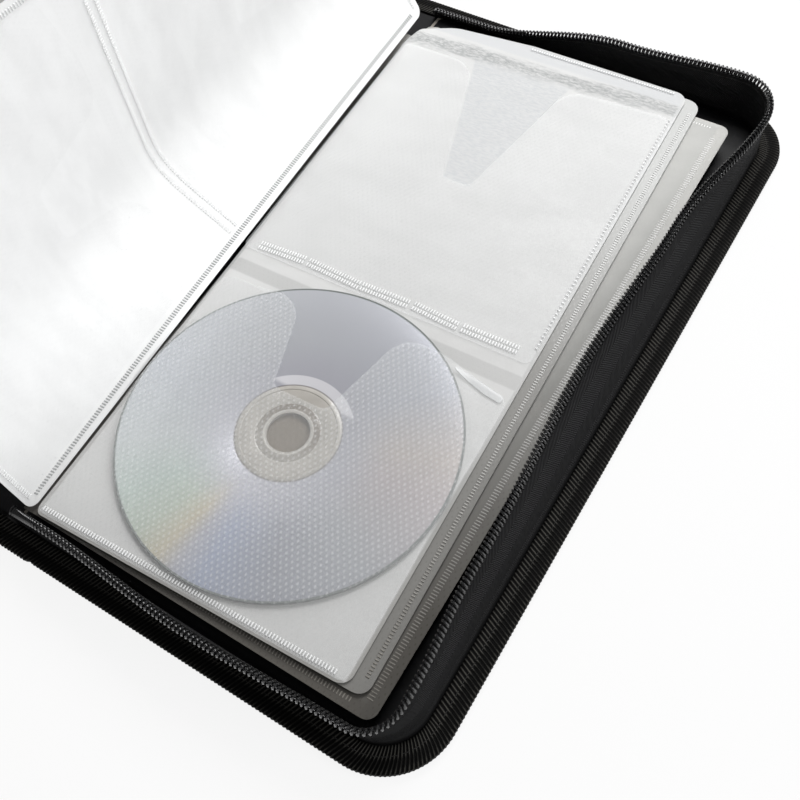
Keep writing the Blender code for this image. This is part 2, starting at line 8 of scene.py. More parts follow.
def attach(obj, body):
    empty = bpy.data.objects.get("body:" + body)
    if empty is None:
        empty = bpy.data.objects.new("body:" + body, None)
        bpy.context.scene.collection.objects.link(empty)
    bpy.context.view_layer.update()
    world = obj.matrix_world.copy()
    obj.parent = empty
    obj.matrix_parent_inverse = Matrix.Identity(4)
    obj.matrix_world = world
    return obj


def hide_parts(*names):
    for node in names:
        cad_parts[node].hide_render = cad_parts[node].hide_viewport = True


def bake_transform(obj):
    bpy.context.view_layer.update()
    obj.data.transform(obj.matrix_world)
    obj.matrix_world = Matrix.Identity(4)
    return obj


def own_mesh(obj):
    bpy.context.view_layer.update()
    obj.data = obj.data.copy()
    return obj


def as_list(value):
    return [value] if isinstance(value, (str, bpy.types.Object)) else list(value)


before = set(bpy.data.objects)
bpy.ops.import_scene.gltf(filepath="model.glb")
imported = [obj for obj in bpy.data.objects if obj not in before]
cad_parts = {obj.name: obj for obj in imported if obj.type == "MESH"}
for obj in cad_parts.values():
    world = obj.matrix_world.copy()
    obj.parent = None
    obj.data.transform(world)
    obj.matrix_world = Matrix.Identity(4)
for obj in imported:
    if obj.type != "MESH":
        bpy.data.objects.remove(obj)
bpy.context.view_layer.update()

# Zip-round disc wallet, lying open: metres, Z up, Y along the spine, X towards the back half.

caseSizes = {
    "endY": 0.1521,
    "hingeX": 0.022,
    "outerX": 0.1892,
    "corner": 0.025,
    "hingeZ": 0.0029,
    "foldFrom": 0.0247,
    "foldTo": 0.0193,
    "tapeHeight": 0.01975,
    "tapeThick": 0.0008,
    "wallInset": 0.0088,
    "wallFootZ": 0.0024,
    "wallKneeZ": 0.0051,
}
wallStations = (  # run of the edge, part of the way along it, lean and height as shares of the tape
    ("lower", 0.0, 0.101, 0.3),
    ("lower", 0.16, 0.051, 0.9),
    ("lower", 0.6, -0.127, 1.0),
    ("lower", 1.0, -0.051, 1.0),
    ("side", 0.0, 0.278, 1.0),
    ("side", 0.17, 0.430, 1.0),
    ("side", 0.52, 0.648, 1.0),
    ("side", 0.76, 0.481, 1.0),
    ("side", 1.0, 0.051, 1.0),
    ("upper", 0.0, -0.101, 1.0),
    ("upper", 0.35, 0.076, 0.95),
    ("upper", 0.8, 0.177, 0.4),
    ("upper", 1.0, 0.101, 0.28),
)
leafSizes = {
    "gutterX": 0.0333,
    "lowY": -0.1389,
    "skew": math.radians(2.1),
    "width": 0.1236,
    "length": 0.2695,
    "corner": 0.004,
    "thick": 0.00042,
    "topZ": 0.0143,
    "underZ": 0.0135,
    "underReach": 0.0062,
    "filmZ": 0.0151,
    "filmThick": 0.00012,
}
halves = (("back", "right", 1), ("front", "left", -1))


def clearSelection():
    if bpy.context.mode != "OBJECT":
        bpy.ops.object.mode_set(mode="OBJECT")
    bpy.ops.object.select_all(action="DESELECT")


def pick(piece):
    clearSelection()
    piece.select_set(True)
    bpy.context.view_layer.objects.active = piece


def applyAll(piece):
    pick(piece)
    for modifier in list(piece.modifiers):
        bpy.ops.object.modifier_apply(modifier=modifier.name)


def editAll():
    bpy.ops.object.mode_set(mode="EDIT")
    bpy.ops.mesh.select_all(action="SELECT")


def turnOutwards(piece):
    pick(piece)
    editAll()
    bpy.ops.mesh.normals_make_consistent(inside=False)
    bpy.ops.object.mode_set(mode="OBJECT")


def smoothBy(piece, degrees):
    pick(piece)
    bpy.ops.object.shade_smooth_by_angle(angle=math.radians(degrees))


def linked(name, data):
    piece = bpy.data.objects.new(name, data)
    bpy.context.scene.collection.objects.link(piece)
    return piece


def dress(piece, finish):
    piece.data.materials.clear()
    piece.data.materials.append(finish)


def frameFrom(origin, x, y, z):
    matrix = Matrix((x, y, z)).transposed().to_4x4()
    matrix.translation = origin
    return matrix


def ease(value, low, high):
    part = min(1.0, max(0.0, (value - low) / (high - low)))
    return part * part * (3 - 2 * part)


def newPiece(name, points, faces, finish, uvs=None, degrees=40):
    mesh = bpy.data.meshes.new(name)
    mesh.from_pydata(points, [], faces)
    if uvs is not None:
        layer = mesh.uv_layers.new(name="cut")
        layer.data.foreach_set("uv", [value for pair in uvs for value in pair])
    mesh.materials.append(finish)
    piece = linked(name, mesh)
    turnOutwards(piece)
    smoothBy(piece, degrees)
    return piece


def joinPieces(name, parts):
    clearSelection()
    for part in parts:
        part.select_set(True)
    bpy.context.view_layer.objects.active = parts[0]
    if len(parts) > 1:
        bpy.ops.object.join()
    parts[0].name = name
    parts[0].data.name = name
    return parts[0]


def label(piece, replaced):
    if replaced:
        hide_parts(*replaced)
    return piece


def settle(piece, body, replaced=()):
    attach(piece, body)
    return label(piece, replaced)


def settleFold(piece, side, replaced=()):
    # cloth that runs from a half over its fold onto the spine
    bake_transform(piece)
    return label(piece, replaced)


class Shade:
    def __init__(self, tree, socket=None):
        self.tree = tree
        self.socket = socket

    def node(self, kind, settings=None, inputs=None, output=0):
        made = self.tree.nodes.new("ShaderNode" + kind)
        for key, value in (settings or {}).items():
            if key == "stops":
                ramp = made.color_ramp
                while len(ramp.elements) < len(value):
                    ramp.elements.new(0.5)
                for stop, (place, colour) in zip(ramp.elements, value):
                    stop.position = place
                    stop.color = (*colour, 1)
            else:
                setattr(made, key, value)
        for key, value in (inputs or {}).items():
            self.feed(made.inputs[key], value)
        return Shade(self.tree, made.outputs[output])

    def feed(self, socket, value):
        if isinstance(value, Shade):
            self.tree.links.new(value.socket, socket)
        elif hasattr(value, "__len__") and len(value) == 3 and socket.type == "RGBA":
            socket.default_value = (*value, 1)
        else:
            socket.default_value = value

    def maths(self, operation, first, second=0.0):
        return self.node("Math", {"operation": operation}, {0: first, 1: second})

    def __add__(self, other):
        return self.maths("ADD", self, other)

    def __radd__(self, other):
        return self.maths("ADD", other, self)

    def __sub__(self, other):
        return self.maths("SUBTRACT", self, other)

    def __rsub__(self, other):
        return self.maths("SUBTRACT", other, self)

    def __mul__(self, other):
        return self.maths("MULTIPLY", self, other)

    def __rmul__(self, other):
        return self.maths("MULTIPLY", other, self)

    def __truediv__(self, other):
        return self.maths("DIVIDE", self, other)

    def __rtruediv__(self, other):
        return self.maths("DIVIDE", other, self)

    def __pow__(self, other):
        return self.maths("POWER", self, other)

    def sine(self):
        return self.maths("SINE", self)

    def size(self):
        return self.maths("ABSOLUTE", self)

    def atLeast(self, low):
        return self.maths("MAXIMUM", self, low)

    def atMost(self, high):
        return self.maths("MINIMUM", self, high)

    def pingpong(self, span):
        return self.maths("PINGPONG", self, span)

    def step(self, low, high):
        spans = {"interpolation_type": "SMOOTHSTEP"}
        return self.node("MapRange", spans, {"Value": self, "From Min": low, "From Max": high})

    def band(self, low, high, soft):
        return self.step(low - soft, low + soft) * (1 - self.step(high - soft, high + soft))

    def axes(self):
        split = self.node("SeparateXYZ", None, {0: self})
        return [Shade(self.tree, socket) for socket in split.socket.node.outputs]

    def grain(self, scale, detail=2.0, roughness=0.5):
        return self.node(
            "TexNoise", None, {"Vector": self, "Scale": scale, "Detail": detail, "Roughness": roughness}
        )

    def stretched(self, across, up, detail, roughness):
        spread = self.node("Mapping", None, {"Vector": self, "Scale": (across, up, 1)})
        return spread.grain(1.0, detail, roughness)

    def blendTo(self, colour, other):
        # self is the factor
        return self.node("Mix", {"data_type": "RGBA"}, {0: self, 6: colour, 7: other}, 2)

    def bump(self, strength, distance, normal=None):
        inputs = {"Height": self, "Strength": strength, "Distance": distance}
        if normal is not None:
            inputs["Normal"] = normal
        return self.node("Bump", None, inputs)


class Finish:
    def __init__(self, name, **constants):
        self.material = bpy.data.materials.new(name)
        self.material.use_nodes = True
        self.tree = self.material.node_tree
        self.shader = self.tree.nodes["Principled BSDF"]
        self.start = Shade(self.tree)
        for key, value in constants.items():
            self.start.feed(self.shader.inputs[key.replace("_", " ")], value)

    def places(self, shift=None):
        place = self.start.node("TexCoord", None, None, 3)
        if shift:
            place = self.start.node("Mapping", None, {"Vector": place, "Location": shift})
        return place

    def laid(self):
        return self.start.node("UVMap", {"uv_map": "cut"})

    def show(self, **values):
        for key, value in values.items():
            self.start.feed(self.shader.inputs[key.replace("_", " ")], value)
        return self.material


wave = 2 * math.pi


nylonLook = {
    "dark": (0.0045, 0.0045, 0.0048),
    "light": (0.013, 0.0125, 0.013),
    "thread": 0.55,
    "roughness": 0.62,
}


def nylonFinish():
    finish = Finish("wovenNylon", Specular_IOR_Level=0.2)
    place = finish.places()
    x, y, _ = place.axes()
    pitch = wave * 1000 / (2 * nylonLook["thread"])
    warp = (x * pitch).sine()
    weft = (y * pitch).sine()
    checks = (x * pitch * 0.5).sine() * (y * pitch * 0.5).sine()
    weave = (warp.size() * checks.atLeast(0) + weft.size() * (0 - checks).atLeast(0)) ** 0.5
    worn = place.grain(38, 3)
    colour = (worn * 0.6 + weave * 0.4).blendTo(nylonLook["dark"], nylonLook["light"])
    return finish.show(
        Base_Color=colour,
        Roughness=nylonLook["roughness"] + worn * 0.12 - weave * 0.1,
        Normal=weave.bump(0.5, 0.0001, place.grain(22, 2).bump(0.25, 0.0008)),
    )


liningLook = {
    "dark": (0.0025, 0.0025, 0.0034),
    "light": (0.011, 0.0105, 0.0125),
    "thread": 0.4,
    "inset": 0.0098,
    "low": 0.00285,
    "rise": 0.0019,
    "edge": 0.002,
}


def liningFinish():
    finish = Finish("smoothLining", Specular_IOR_Level=0.22)
    place = finish.places()
    x, y, _ = place.axes()
    creases = place.grain(26, 4, 0.62)
    pitch = wave * 1000 / liningLook["thread"]
    threads = (x * pitch).sine() * (y * pitch).sine()
    specks = place.grain(900, 1).step(0.62, 0.74)
    colour = (creases.step(0.35, 0.7) * 0.5 + specks * 0.5).blendTo(liningLook["dark"], liningLook["light"])
    return finish.show(
        Base_Color=colour,
        Roughness=0.42 + creases * 0.25,
        Normal=threads.bump(0.22, 0.00006, creases.bump(0.5, 0.0012)),
    )


ribbonLook = {
    "width": 8.5,
    "top": 3.0,
    "thick": 0.55,
    "pitch": 1.46,
    "ribDepth": 0.3,
    "slant": 0.42,
    "stationsPerRib": 6,
    "stitchInset": 5.4,
    "dip": 0.16,
    "stitch": 2.5,
    "stitchGap": 0.75,
    "lapEnd": 36.5,
    "lapThick": 0.38,
    "lapRim": 1.8,
    "threadPitch": 0.42,
    "middle": 9.45,
    "dark": (0.0008, 0.0008, 0.0008),
    "light": (0.068, 0.065, 0.058),
}


def ribbonFinish():
    # the flat layout runs along the ribbon and, across it, from its lower inner edge to its upper one
    finish = Finish("ribbedRibbon", Specular_IOR_Level=0.08)
    along, across, _ = finish.laid().axes()
    place = finish.places()
    pitch = wave / ribbonLook["pitch"]
    threads = (across * (wave / ribbonLook["threadPitch"]) + (along * pitch).sine() * 1.2).sine()
    inset = (across - ribbonLook["middle"]).size() - 0.95
    ribs = (((along - inset * ribbonLook["slant"]) * pitch + wave / 4).sine() * 0.5 + 0.5) ** 3.4
    # painted highlights: the ribs' crests are lighter than their gaps, most along the inner ridge and the
    # round rim
    ridgeHighlight = across.band(15.0, 18.5, 0.7)
    rim = across.band(9.4, 12.0, 0.6)
    lint = place.grain(160, 3)
    light = ribs * (0.2 + ridgeHighlight * 0.9 + rim * 0.4) * (0.7 + lint * 0.6) + threads * ribs * 0.04
    colour = light.blendTo(ribbonLook["dark"], ribbonLook["light"])
    return finish.show(
        Base_Color=colour,
        Roughness=0.5 + lint * 0.2 - ribs * 0.1,
        Normal=(threads * 0.6 + ribs * 2.4).bump(0.6, 0.00012),
    )


tapeLook = {
    "levels": 9,
    "step": 0.0016,
    "ripple": 0.00025,
    "column": 4.7,
    "thread": 0.95,
    "dark": (0.0012, 0.0012, 0.0016),
    "light": (0.037, 0.037, 0.039),
}


def tapeFinish():
    # herringbone: threads slanted one way, then the other, in columns across the tape; its foot is darkened
    # by painted shade
    finish = Finish("herringboneTape", Specular_IOR_Level=0.2)
    along, across, _ = finish.laid().axes()
    place = finish.places()
    slant = across.pingpong(tapeLook["column"]) * 1.2
    uneven = place.grain(260, 2)
    threads = ((along + slant + (uneven - 0.5) * 0.5) * (wave / tapeLook["thread"])).sine()
    raised = threads * across.band(1.4, 16.6, 1.0) * (0.45 + uneven)
    wear = place.grain(70, 3)
    # painted shade: the foot of the tape is darkened where it meets the ribbon
    foot = 1 - across.step(15.6, 18.4) * 0.85
    light = (raised.atLeast(0) * 0.95 + wear * 0.16) * foot
    colour = light.blendTo(tapeLook["dark"], tapeLook["light"])
    return finish.show(
        Base_Color=colour,
        Roughness=0.58 + wear * 0.2 - raised * 0.06,
        Normal=raised.bump(1.0, 0.0003, uneven.bump(0.3, 0.0003)),
    )


def coilFinish():
    finish = Finish("shinyCoil", Specular_IOR_Level=0.4, Coat_Weight=0.6, Coat_Roughness=0.04)
    place = finish.places()
    rub = place.grain(240, 2)
    return finish.show(
        Base_Color=rub.blendTo((0.003, 0.003, 0.0035), (0.016, 0.016, 0.017)),
        Roughness=0.12 + rub * 0.08,
        Normal=rub.bump(0.12, 0.0001),
    )


def threadFinish():
    finish = Finish("sewingThread", Specular_IOR_Level=0.35)
    place = finish.places()
    x, y, z = place.axes()
    twist = ((x + y + z) * (wave * 1000 / 0.3)).sine()
    return finish.show(
        Base_Color=(twist * 0.5 + 0.5).blendTo((0.004, 0.004, 0.004), (0.022, 0.021, 0.020)),
        Roughness=0.55 + twist * 0.08,
        Normal=twist.bump(0.5, 0.0001),
    )


leafLook = {  # millimetres on the leaf
    "dotsAlong": 2.15,
    "dotsUp": 3.45,
    "gapLow": 113.6,
    "gapHigh": 119.6,
    "hole": (7.2, 9.5),
    "holeColour": (0.150, 0.118, 0.080),
    "crushed": (251.0, 257.5),
    "crushedShadeColour": (0.33, 0.34, 0.34),
    "notchFloor": 188,
    "notchLeft": 54.5,
    "notchRight": 66,
    "notchColour": (0.52, 0.535, 0.55),
    "topStrip": (262.0, 290.0),
    "topStripColour": (0.60, 0.61, 0.62),
}


def pressedDots(x, y):
    across = (x * (wave / leafLook["dotsAlong"])).sine()
    return (across * (y * (wave / leafLook["dotsUp"])).sine()).atLeast(0)


def aroundDisc(finish):
    # the place seen from the disc's centre, then x, y and the radius in millimetres
    centre = discLook["centre"]
    place = finish.places((-centre[0], -centre[1], 0))
    x, y, _ = place.axes()
    x = x * 1000
    y = y * 1000
    return place, x, y, (x * x + y * y) ** 0.5


def leafFinish(
    name, white, clear, shadedTone, marginWidth, width, shade=0.0, start=0.0, crushed=0.0, lowShade=0.0,
    shadeSpan=(-20.0, 235.0),
):
    # white nonwoven with pressed dots; round its edge and between its pockets only clear film is
    # left, which shows the dark below it; towards the lower end cloth and film are darkened by painted
    # shade
    finish = Finish(name, Specular_IOR_Level=0.3)
    laid = finish.laid()
    x, y, _ = laid.axes()
    place = finish.places()
    dots = pressedDots(x, y) ** 3
    fibre = place.grain(420, 4, 0.65)
    cloudy = place.grain(30, 2)
    length = leafSizes["length"] * 1000
    wander = place.grain(60, 2) * 0.8 - 0.4
    edge = (x - start).atMost(width - x).atMost(y).atMost(length - y)
    margin = 1 - (edge + wander).step(marginWidth - 0.5, marginWidth + 0.5)
    gap = (y + wander).band(leafLook["gapLow"], leafLook["gapHigh"], 0.5)
    bare = margin.atLeast(gap * 0.85)
    broad = laid.stretched(0.05, 0.3, 3, 0.5)
    soft = laid.stretched(0.03, 0.07, 3, 0.6)
    duller = [value * 0.93 for value in white]
    inner = (fibre * 0.15 + soft * 0.85).step(0.32, 0.66).blendTo(duller, white)
    dotted = (dots * 0.08).blendTo(inner, [min(1, value * 1.06) for value in white])
    # painted shade: the leaf and its film darken towards the lower end
    unshaded = y.step(*shadeSpan)
    film = (unshaded + (cloudy - 0.5) * 0.3).blendTo(shadedTone, clear)
    dotted = ((1 - unshaded) * lowShade).blendTo(dotted, shadedTone)
    if shade:
        # the leaf is shaded in the disc's hole
        away = aroundDisc(finish)[3]
        dotted = ((1 - away.step(*leafLook["hole"])) * shade).blendTo(dotted, leafLook["holeColour"])
    streaks = laid.stretched(0.34, 1.1, 6, 0.75)
    # the crushed band near the top: its wrinkles are darkened by painted shade, and also bumped and made
    # rougher
    band = (y - (x * 0.035) + (broad - 0.5) * 8).band(*leafLook["crushed"], 2.6)
    wrinklesAndShade = band * (streaks.step(0.38, 0.6) * 0.8 + 0.2) * crushed
    dotted = (wrinklesAndShade * 0.95).blendTo(dotted, leafLook["crushedShadeColour"])
    if crushed:
        # the bare cloth in the upper notch looks greyer and more crinkled than the cloth below the film;
        # its crinkle streaks are darkened by painted shade
        rise = y - leafLook["notchFloor"]
        notch = (x - (leafLook["notchLeft"] - rise * 0.295)).step(-0.5, 0.7)
        notch = notch * (1 - (x - (leafLook["notchRight"] + rise * 0.2)).step(-0.7, 0.5))
        notch = notch * rise.step(-0.6, 0.8) * (1 - rise.step(61, 68))
        crinkleShade = notch * (streaks.step(0.4, 0.62) * 0.55 + 0.25)
        dotted = crinkleShade.blendTo(dotted, leafLook["notchColour"])
        topStrip = y.band(*leafLook["topStrip"], 0.8) * 0.8
        dotted = topStrip.blendTo(dotted, leafLook["topStripColour"])
    relief = (fibre * 0.05 + streaks * band * crushed * 2.4).bump(0.3, 0.0004)
    return finish.show(
        Base_Color=bare.blendTo(dotted, film),
        Roughness=0.62 - dots * 0.2 - bare * 0.27 - wrinklesAndShade * 0.2,
        Normal=(0 - dots).bump(0.08, 0.0001, relief),
    )


def filmFinish(name, thin, dotted):
    finish = Finish(name, Specular_IOR_Level=0.45, IOR=1.45)
    x, y, _ = finish.laid().axes()
    place = finish.places()
    overDisc = aroundDisc(finish)[3].band(8.2, 60.0, 0.8) * 0.8 + 0.2
    dots = (pressedDots(x, y) * 1.25 - 0.25).atLeast(0) ** 1.4 * overDisc
    patchy = place.grain(45, 3)
    sparkle = place.grain(1300, 1).step(0.66, 0.76) * dots
    return finish.show(
        Base_Color=patchy.blendTo((0.86, 0.88, 0.89), (0.93, 0.94, 0.94)),
        Roughness=0.3 + patchy * 0.16 - dots * 0.1,
        Alpha=thin + dots * dotted + sparkle * 0.25 + patchy * (thin * 0.4),
        Normal=dots.bump(0.3, 0.00015, place.grain(60, 2).bump(0.1, 0.0006)),
    )


def weldFinish(name, low, high, shadedTone=None):
    finish = Finish(name, Specular_IOR_Level=0.5)
    place = finish.places()
    frost = place.grain(900, 2)
    _, y, _ = place.axes()
    colour = frost.blendTo(low, high)
    # painted shade: the weld darkens towards the lower end
    if shadedTone:
        colour = y.step(-0.15, 0.06).blendTo(shadedTone, colour)
    return finish.show(
        Base_Color=colour,
        Roughness=0.32 + frost * 0.2,
        Normal=frost.bump(0.3, 0.0001),
    )


discLook = {
    "centre": (0.0930, -0.0729),
    "hub": 18.6,
    "mirror": 22.6,
    "rim": 59.2,
    "lilac": (0.50, 0.50, 0.55),
    "sheen": (  # share of the turn from the spine's side, colour
        (0.0, (0.54, 0.56, 0.60)),
        (0.083, (0.57, 0.60, 0.61)),
        (0.147, (0.51, 0.59, 0.55)),
        (0.189, (0.51, 0.57, 0.49)),
        (0.222, (0.58, 0.53, 0.41)),
        (0.244, (0.47, 0.47, 0.52)),
        (0.272, (0.37, 0.41, 0.53)),
        (0.339, (0.35, 0.36, 0.41)),
        (0.417, (0.42, 0.43, 0.46)),
        (0.5, (0.52, 0.47, 0.48)),
        (0.542, (0.54, 0.49, 0.47)),
        (0.625, (0.49, 0.50, 0.55)),
        (0.75, (0.52, 0.53, 0.57)),
        (0.875, (0.52, 0.53, 0.56)),
        (1.0, (0.54, 0.56, 0.60)),
    ),
}


def discFinish():
    finish = Finish("mirroredDisc", Specular_IOR_Level=0.5, Coat_Weight=0.6, Coat_Roughness=0.1)
    place, x, y, radius = aroundDisc(finish)
    drift = place.grain(9, 1)
    turns = x.maths("ARCTAN2", y, x) / wave + 0.5 + (drift - 0.5) * 0.05
    swung = turns.maths("FRACT", turns)
    # painted reflection: the data side's rainbow is painted into its colour by the turn round the disc
    rainbow = finish.start.node("ValToRGB", {"stops": discLook["sheen"]}, {0: swung})
    data = radius.step(20, 40).blendTo(discLook["lilac"], rainbow)
    # painted highlight: the mirror band round the hub is painted light on its upper side only
    band = radius.band(discLook["hub"], discLook["mirror"], 0.12) * y.step(14.0, 16.0)
    hub = 1 - radius.step(discLook["hub"] - 0.1, discLook["hub"] + 0.1)
    # painted shade: the inside of the stacking ring is dark, most on its upper side
    ringShade = radius.band(8.9, 11.2, 0.25) * (y.step(-9, 6) * 0.75 + 0.25)
    # painted highlights: light lines along the hub's ring ridges
    ringGlints = radius.band(8.2, 8.6, 0.1).atLeast(radius.band(11.3, 11.6, 0.12) * 0.6)
    withMirrorGlint = band.blendTo(data, (0.84, 0.83, 0.87))
    mottled = place.grain(170, 2)
    hubColour = mottled.blendTo((0.36, 0.34, 0.31), (0.48, 0.455, 0.42))
    hubColour = ringShade.blendTo(hubColour, (0.165, 0.138, 0.106))
    hubColour = ringGlints.blendTo(hubColour, (0.52, 0.50, 0.46))
    colour = hub.blendTo(withMirrorGlint, hubColour)
    seam = radius.band(18.25, 18.8, 0.12)
    colour = (seam * 0.75).blendTo(colour, (0.19, 0.175, 0.17))
    clearRim = radius.step(discLook["rim"] - 0.08, discLook["rim"] + 0.08)
    colour = clearRim.blendTo(colour, (0.16, 0.175, 0.17))
    grooves = (radius * (wave / 0.35)).sine()
    return finish.show(
        Base_Color=colour,
        Metallic=(1 - hub) * (1 - clearRim) * 0.35,
        Roughness=0.24 + hub * 0.1 + drift * 0.06,
        Normal=(grooves * (1 - hub)).bump(0.04, 0.00005),
    )


def paintedFinish():
    finish = Finish("paintedMetal", Specular_IOR_Level=0.6)
    place = finish.places()
    chips = place.grain(420, 3)
    return finish.show(
        Base_Color=chips.step(0.3, 0.8).blendTo((0.012, 0.012, 0.013), (0.034, 0.034, 0.036)),
        Roughness=0.22 + chips * 0.2,
        Metallic=0.35 + chips * 0.2,
        Normal=chips.bump(0.1, 0.0001),
    )


def boardFinish():
    finish = Finish("greyBoard", Specular_IOR_Level=0.2)
    place = finish.places()
    pulp = place.grain(300, 4, 0.7)
    return finish.show(
        Base_Color=pulp.blendTo((0.24, 0.22, 0.19), (0.44, 0.41, 0.37)),
        Roughness=0.85 + pulp * 0.1,
        Normal=pulp.bump(0.3, 0.0002),
    )


nylon = nylonFinish()
liningCloth = liningFinish()
ribbonCloth = ribbonFinish()
tapeCloth = tapeFinish()
coilPlastic = coilFinish()
blackThread = threadFinish()
pageCloth = leafFinish(
    "topLeafCloth", (0.68, 0.68, 0.675), (0.57, 0.575, 0.575), (0.36, 0.355, 0.34), 1.2, 123.6,
    shade=0.95, start=1.0, crushed=1.0, lowShade=0.3,
)
underCloth = leafFinish(
    "underLeafCloth", (0.60, 0.605, 0.60), (0.47, 0.475, 0.465), (0.235, 0.23, 0.218), 7.0, 129.8,
    lowShade=0.92, shadeSpan=(105, 235),
)
stackCloth = leafFinish(
    "stackLeafCloth", (0.54, 0.54, 0.52), (0.47, 0.465, 0.44), (0.11, 0.103, 0.092), 4.6, 142.5,
    lowShade=0.95, shadeSpan=(20, 240),
)
rootCloth = leafFinish(
    "leafRootCloth", (0.30, 0.295, 0.28), (0.16, 0.155, 0.145), (0.035, 0.032, 0.03), 60.0, 124.0
)
# the turning leaf takes a much lighter copy of the leaf cloth: painted light
litTurningCloth = leafFinish(
    "turningLeafCloth", (0.95, 0.955, 0.955), (0.93, 0.935, 0.935), (0.90, 0.905, 0.905), 4.0, 130.0
)
clearFilm = filmFinish("clearFilm", 0.085, 0.17)
# the fold's film is more opaque, so the crease shows as a painted highlight
foldedFilm = filmFinish("foldedFilm", 0.26, 0.1)
faintFilm = filmFinish("faintFilm", 0.006, 0.03)
brightWeld = weldFinish("brightWeld", (0.84, 0.85, 0.85), (0.95, 0.95, 0.95))
# a darker copy of the bright weld for the lower leaves, darkened further towards the lower end: painted
# shade
fadingWeld = weldFinish("fadingWeld", (0.74, 0.74, 0.73), (0.88, 0.88, 0.87), (0.24, 0.225, 0.20))
# a grey copy of the bright weld for the turning leaf's root: painted shade of the gutter
gutterShadeWeld = weldFinish("gutterShadeWeld", (0.34, 0.35, 0.35), (0.50, 0.51, 0.51))
discShine = discFinish()
blackMetal = paintedFinish()
greyBoard = boardFinish()
print("finishes ready")


cameraLook = {
    "place": (0.22872, -0.17626, 0.30841),
    "right": (0.84854052, 0.52311692, -0.07954669),
    "down": (0.41994155, -0.75724704, -0.50022596),
    "ahead": (-0.32191316, 0.39105704, -0.86223333),
    "lens": 44.711,
}
cameraData = bpy.data.cameras.new("photoView")
cameraData.lens = cameraLook["lens"]
cameraData.sensor_width = 36
cameraData.clip_start = 0.01
cameraData.clip_end = 20
camera = linked("photoView", cameraData)
axes = [Vector(cameraLook["right"]), -Vector(cameraLook["down"]), -Vector(cameraLook["ahead"])]
camera.matrix_world = frameFrom(cameraLook["place"], *axes)
bpy.context.scene.camera = camera
bpy.context.scene.view_settings.view_transform = "Standard"

lightLook = {
    "sky": 0.24,
    "lamps": (  # place, size, watts
        ((0.06, 0.56, 0.64), 0.42, 5.6),
        ((0.95, 0.25, 0.60), 0.5, 5.4),
    ),
    "floorShadow": 0.12,
}


def paintSky():
    world = bpy.data.worlds.new("studio")
    bpy.context.scene.world = world
    world.use_nodes = True
    tree = world.node_tree
    shade = Shade(tree)
    background = tree.nodes["Background"]
    background.inputs["Color"].default_value = (1, 1, 1, 1)
    ray = tree.nodes.new("ShaderNodeLightPath")
    seen = Shade(tree, ray.outputs["Is Camera Ray"])
    shade.feed(background.inputs["Strength"], seen * (1 - lightLook["sky"]) + lightLook["sky"])


def layFloor():
    clearSelection()
    bpy.ops.mesh.primitive_plane_add(size=8, location=(0, 0, -0.0003))
    floor = bpy.context.object
    floor.name = "paleFloor"
    material = bpy.data.materials.new("paleFloor")
    material.use_nodes = True
    tree = material.node_tree
    shader = tree.nodes["Principled BSDF"]
    shader.inputs["Base Color"].default_value = (0.86, 0.86, 0.86, 1)
    shader.inputs["Roughness"].default_value = 0.9
    shader.inputs["Specular IOR Level"].default_value = 0.1
    shade = Shade(tree)
    ray = tree.nodes.new("ShaderNodeLightPath")
    seen = Shade(tree, ray.outputs["Is Camera Ray"])
    glossy = Shade(tree, ray.outputs["Is Glossy Ray"])
    through = Shade(tree, ray.outputs["Is Transmission Ray"])
    white = shade.node("Emission", None, {"Color": (1, 1, 1, 1), "Strength": 1.0})
    factor = (seen + glossy + through).atMost(1) * (1 - lightLook["floorShadow"])
    mix = shade.node("MixShader", None, {0: factor, 1: Shade(tree, shader.outputs[0]), 2: white})
    tree.links.new(mix.socket, tree.nodes["Material Output"].inputs["Surface"])
    floor.data.materials.append(material)


def hangLamps():
    for index, (place, size, watts) in enumerate(lightLook["lamps"]):
        data = bpy.data.lights.new("softLamp" + str(index), "AREA")
        data.shape = "SQUARE"
        data.size = size
        data.energy = watts
        lamp = linked("softLamp" + str(index), data)
        lamp.location = place
        lamp.rotation_mode = "QUATERNION"
        lamp.rotation_quaternion = (Vector((0.05, 0, 0)) - Vector(place)).to_track_quat("-Z", "Y")


paintSky()
layFloor()
hangLamps()
print("camera, floor and lamps ready")


def edgeStations(nearX, step, stretch=1.0):
    # points along the back half's edge: point, inward direction, run, part of the way, distance
    far = caseSizes["outerX"] - caseSizes["corner"]
    high = caseSizes["endY"] - caseSizes["corner"]
    wallNear = caseSizes["hingeX"] + 0.0003
    span = far - wallNear
    stations = []

    def note(point, inward, run, part):
        distance = 0.0
        if stations:
            distance = stations[-1][4] + (point - stations[-1][0]).length
            if distance - stations[-1][4] < 1e-7:
                return
        stations.append((point, inward, run, part, distance))

    def straight(start, end, inward, run):
        count = max(1, round((end - start).length / step))
        for index in range(count + 1):
            point = start.lerp(end, index / count)
            if run == "lower":
                part = (point.x - wallNear) / span
            elif run == "upper":
                part = (far - point.x) / span
            else:
                part = index / count
            note(point, inward, run, part)

    def corner(centre, inward, run):
        count = max(2, round(caseSizes["corner"] * math.pi / 2 / (step * stretch)))
        for index in range(1, count):
            direction = Matrix.Rotation(index / count * math.pi / 2, 2) @ inward
            note(centre - direction * caseSizes["corner"], direction, run, index / count - 1)

    end = caseSizes["endY"]
    straight(Vector((nearX, -end)), Vector((far, -end)), Vector((0, 1)), "lower")
    corner(Vector((far, -high)), Vector((0, 1)), "side")
    outer = caseSizes["outerX"]
    straight(Vector((outer, -high)), Vector((outer, high)), Vector((-1, 0)), "side")
    corner(Vector((far, high)), Vector((-1, 0)), "upper")
    straight(Vector((far, end)), Vector((nearX, end)), Vector((0, -1)), "upper")
    return stations


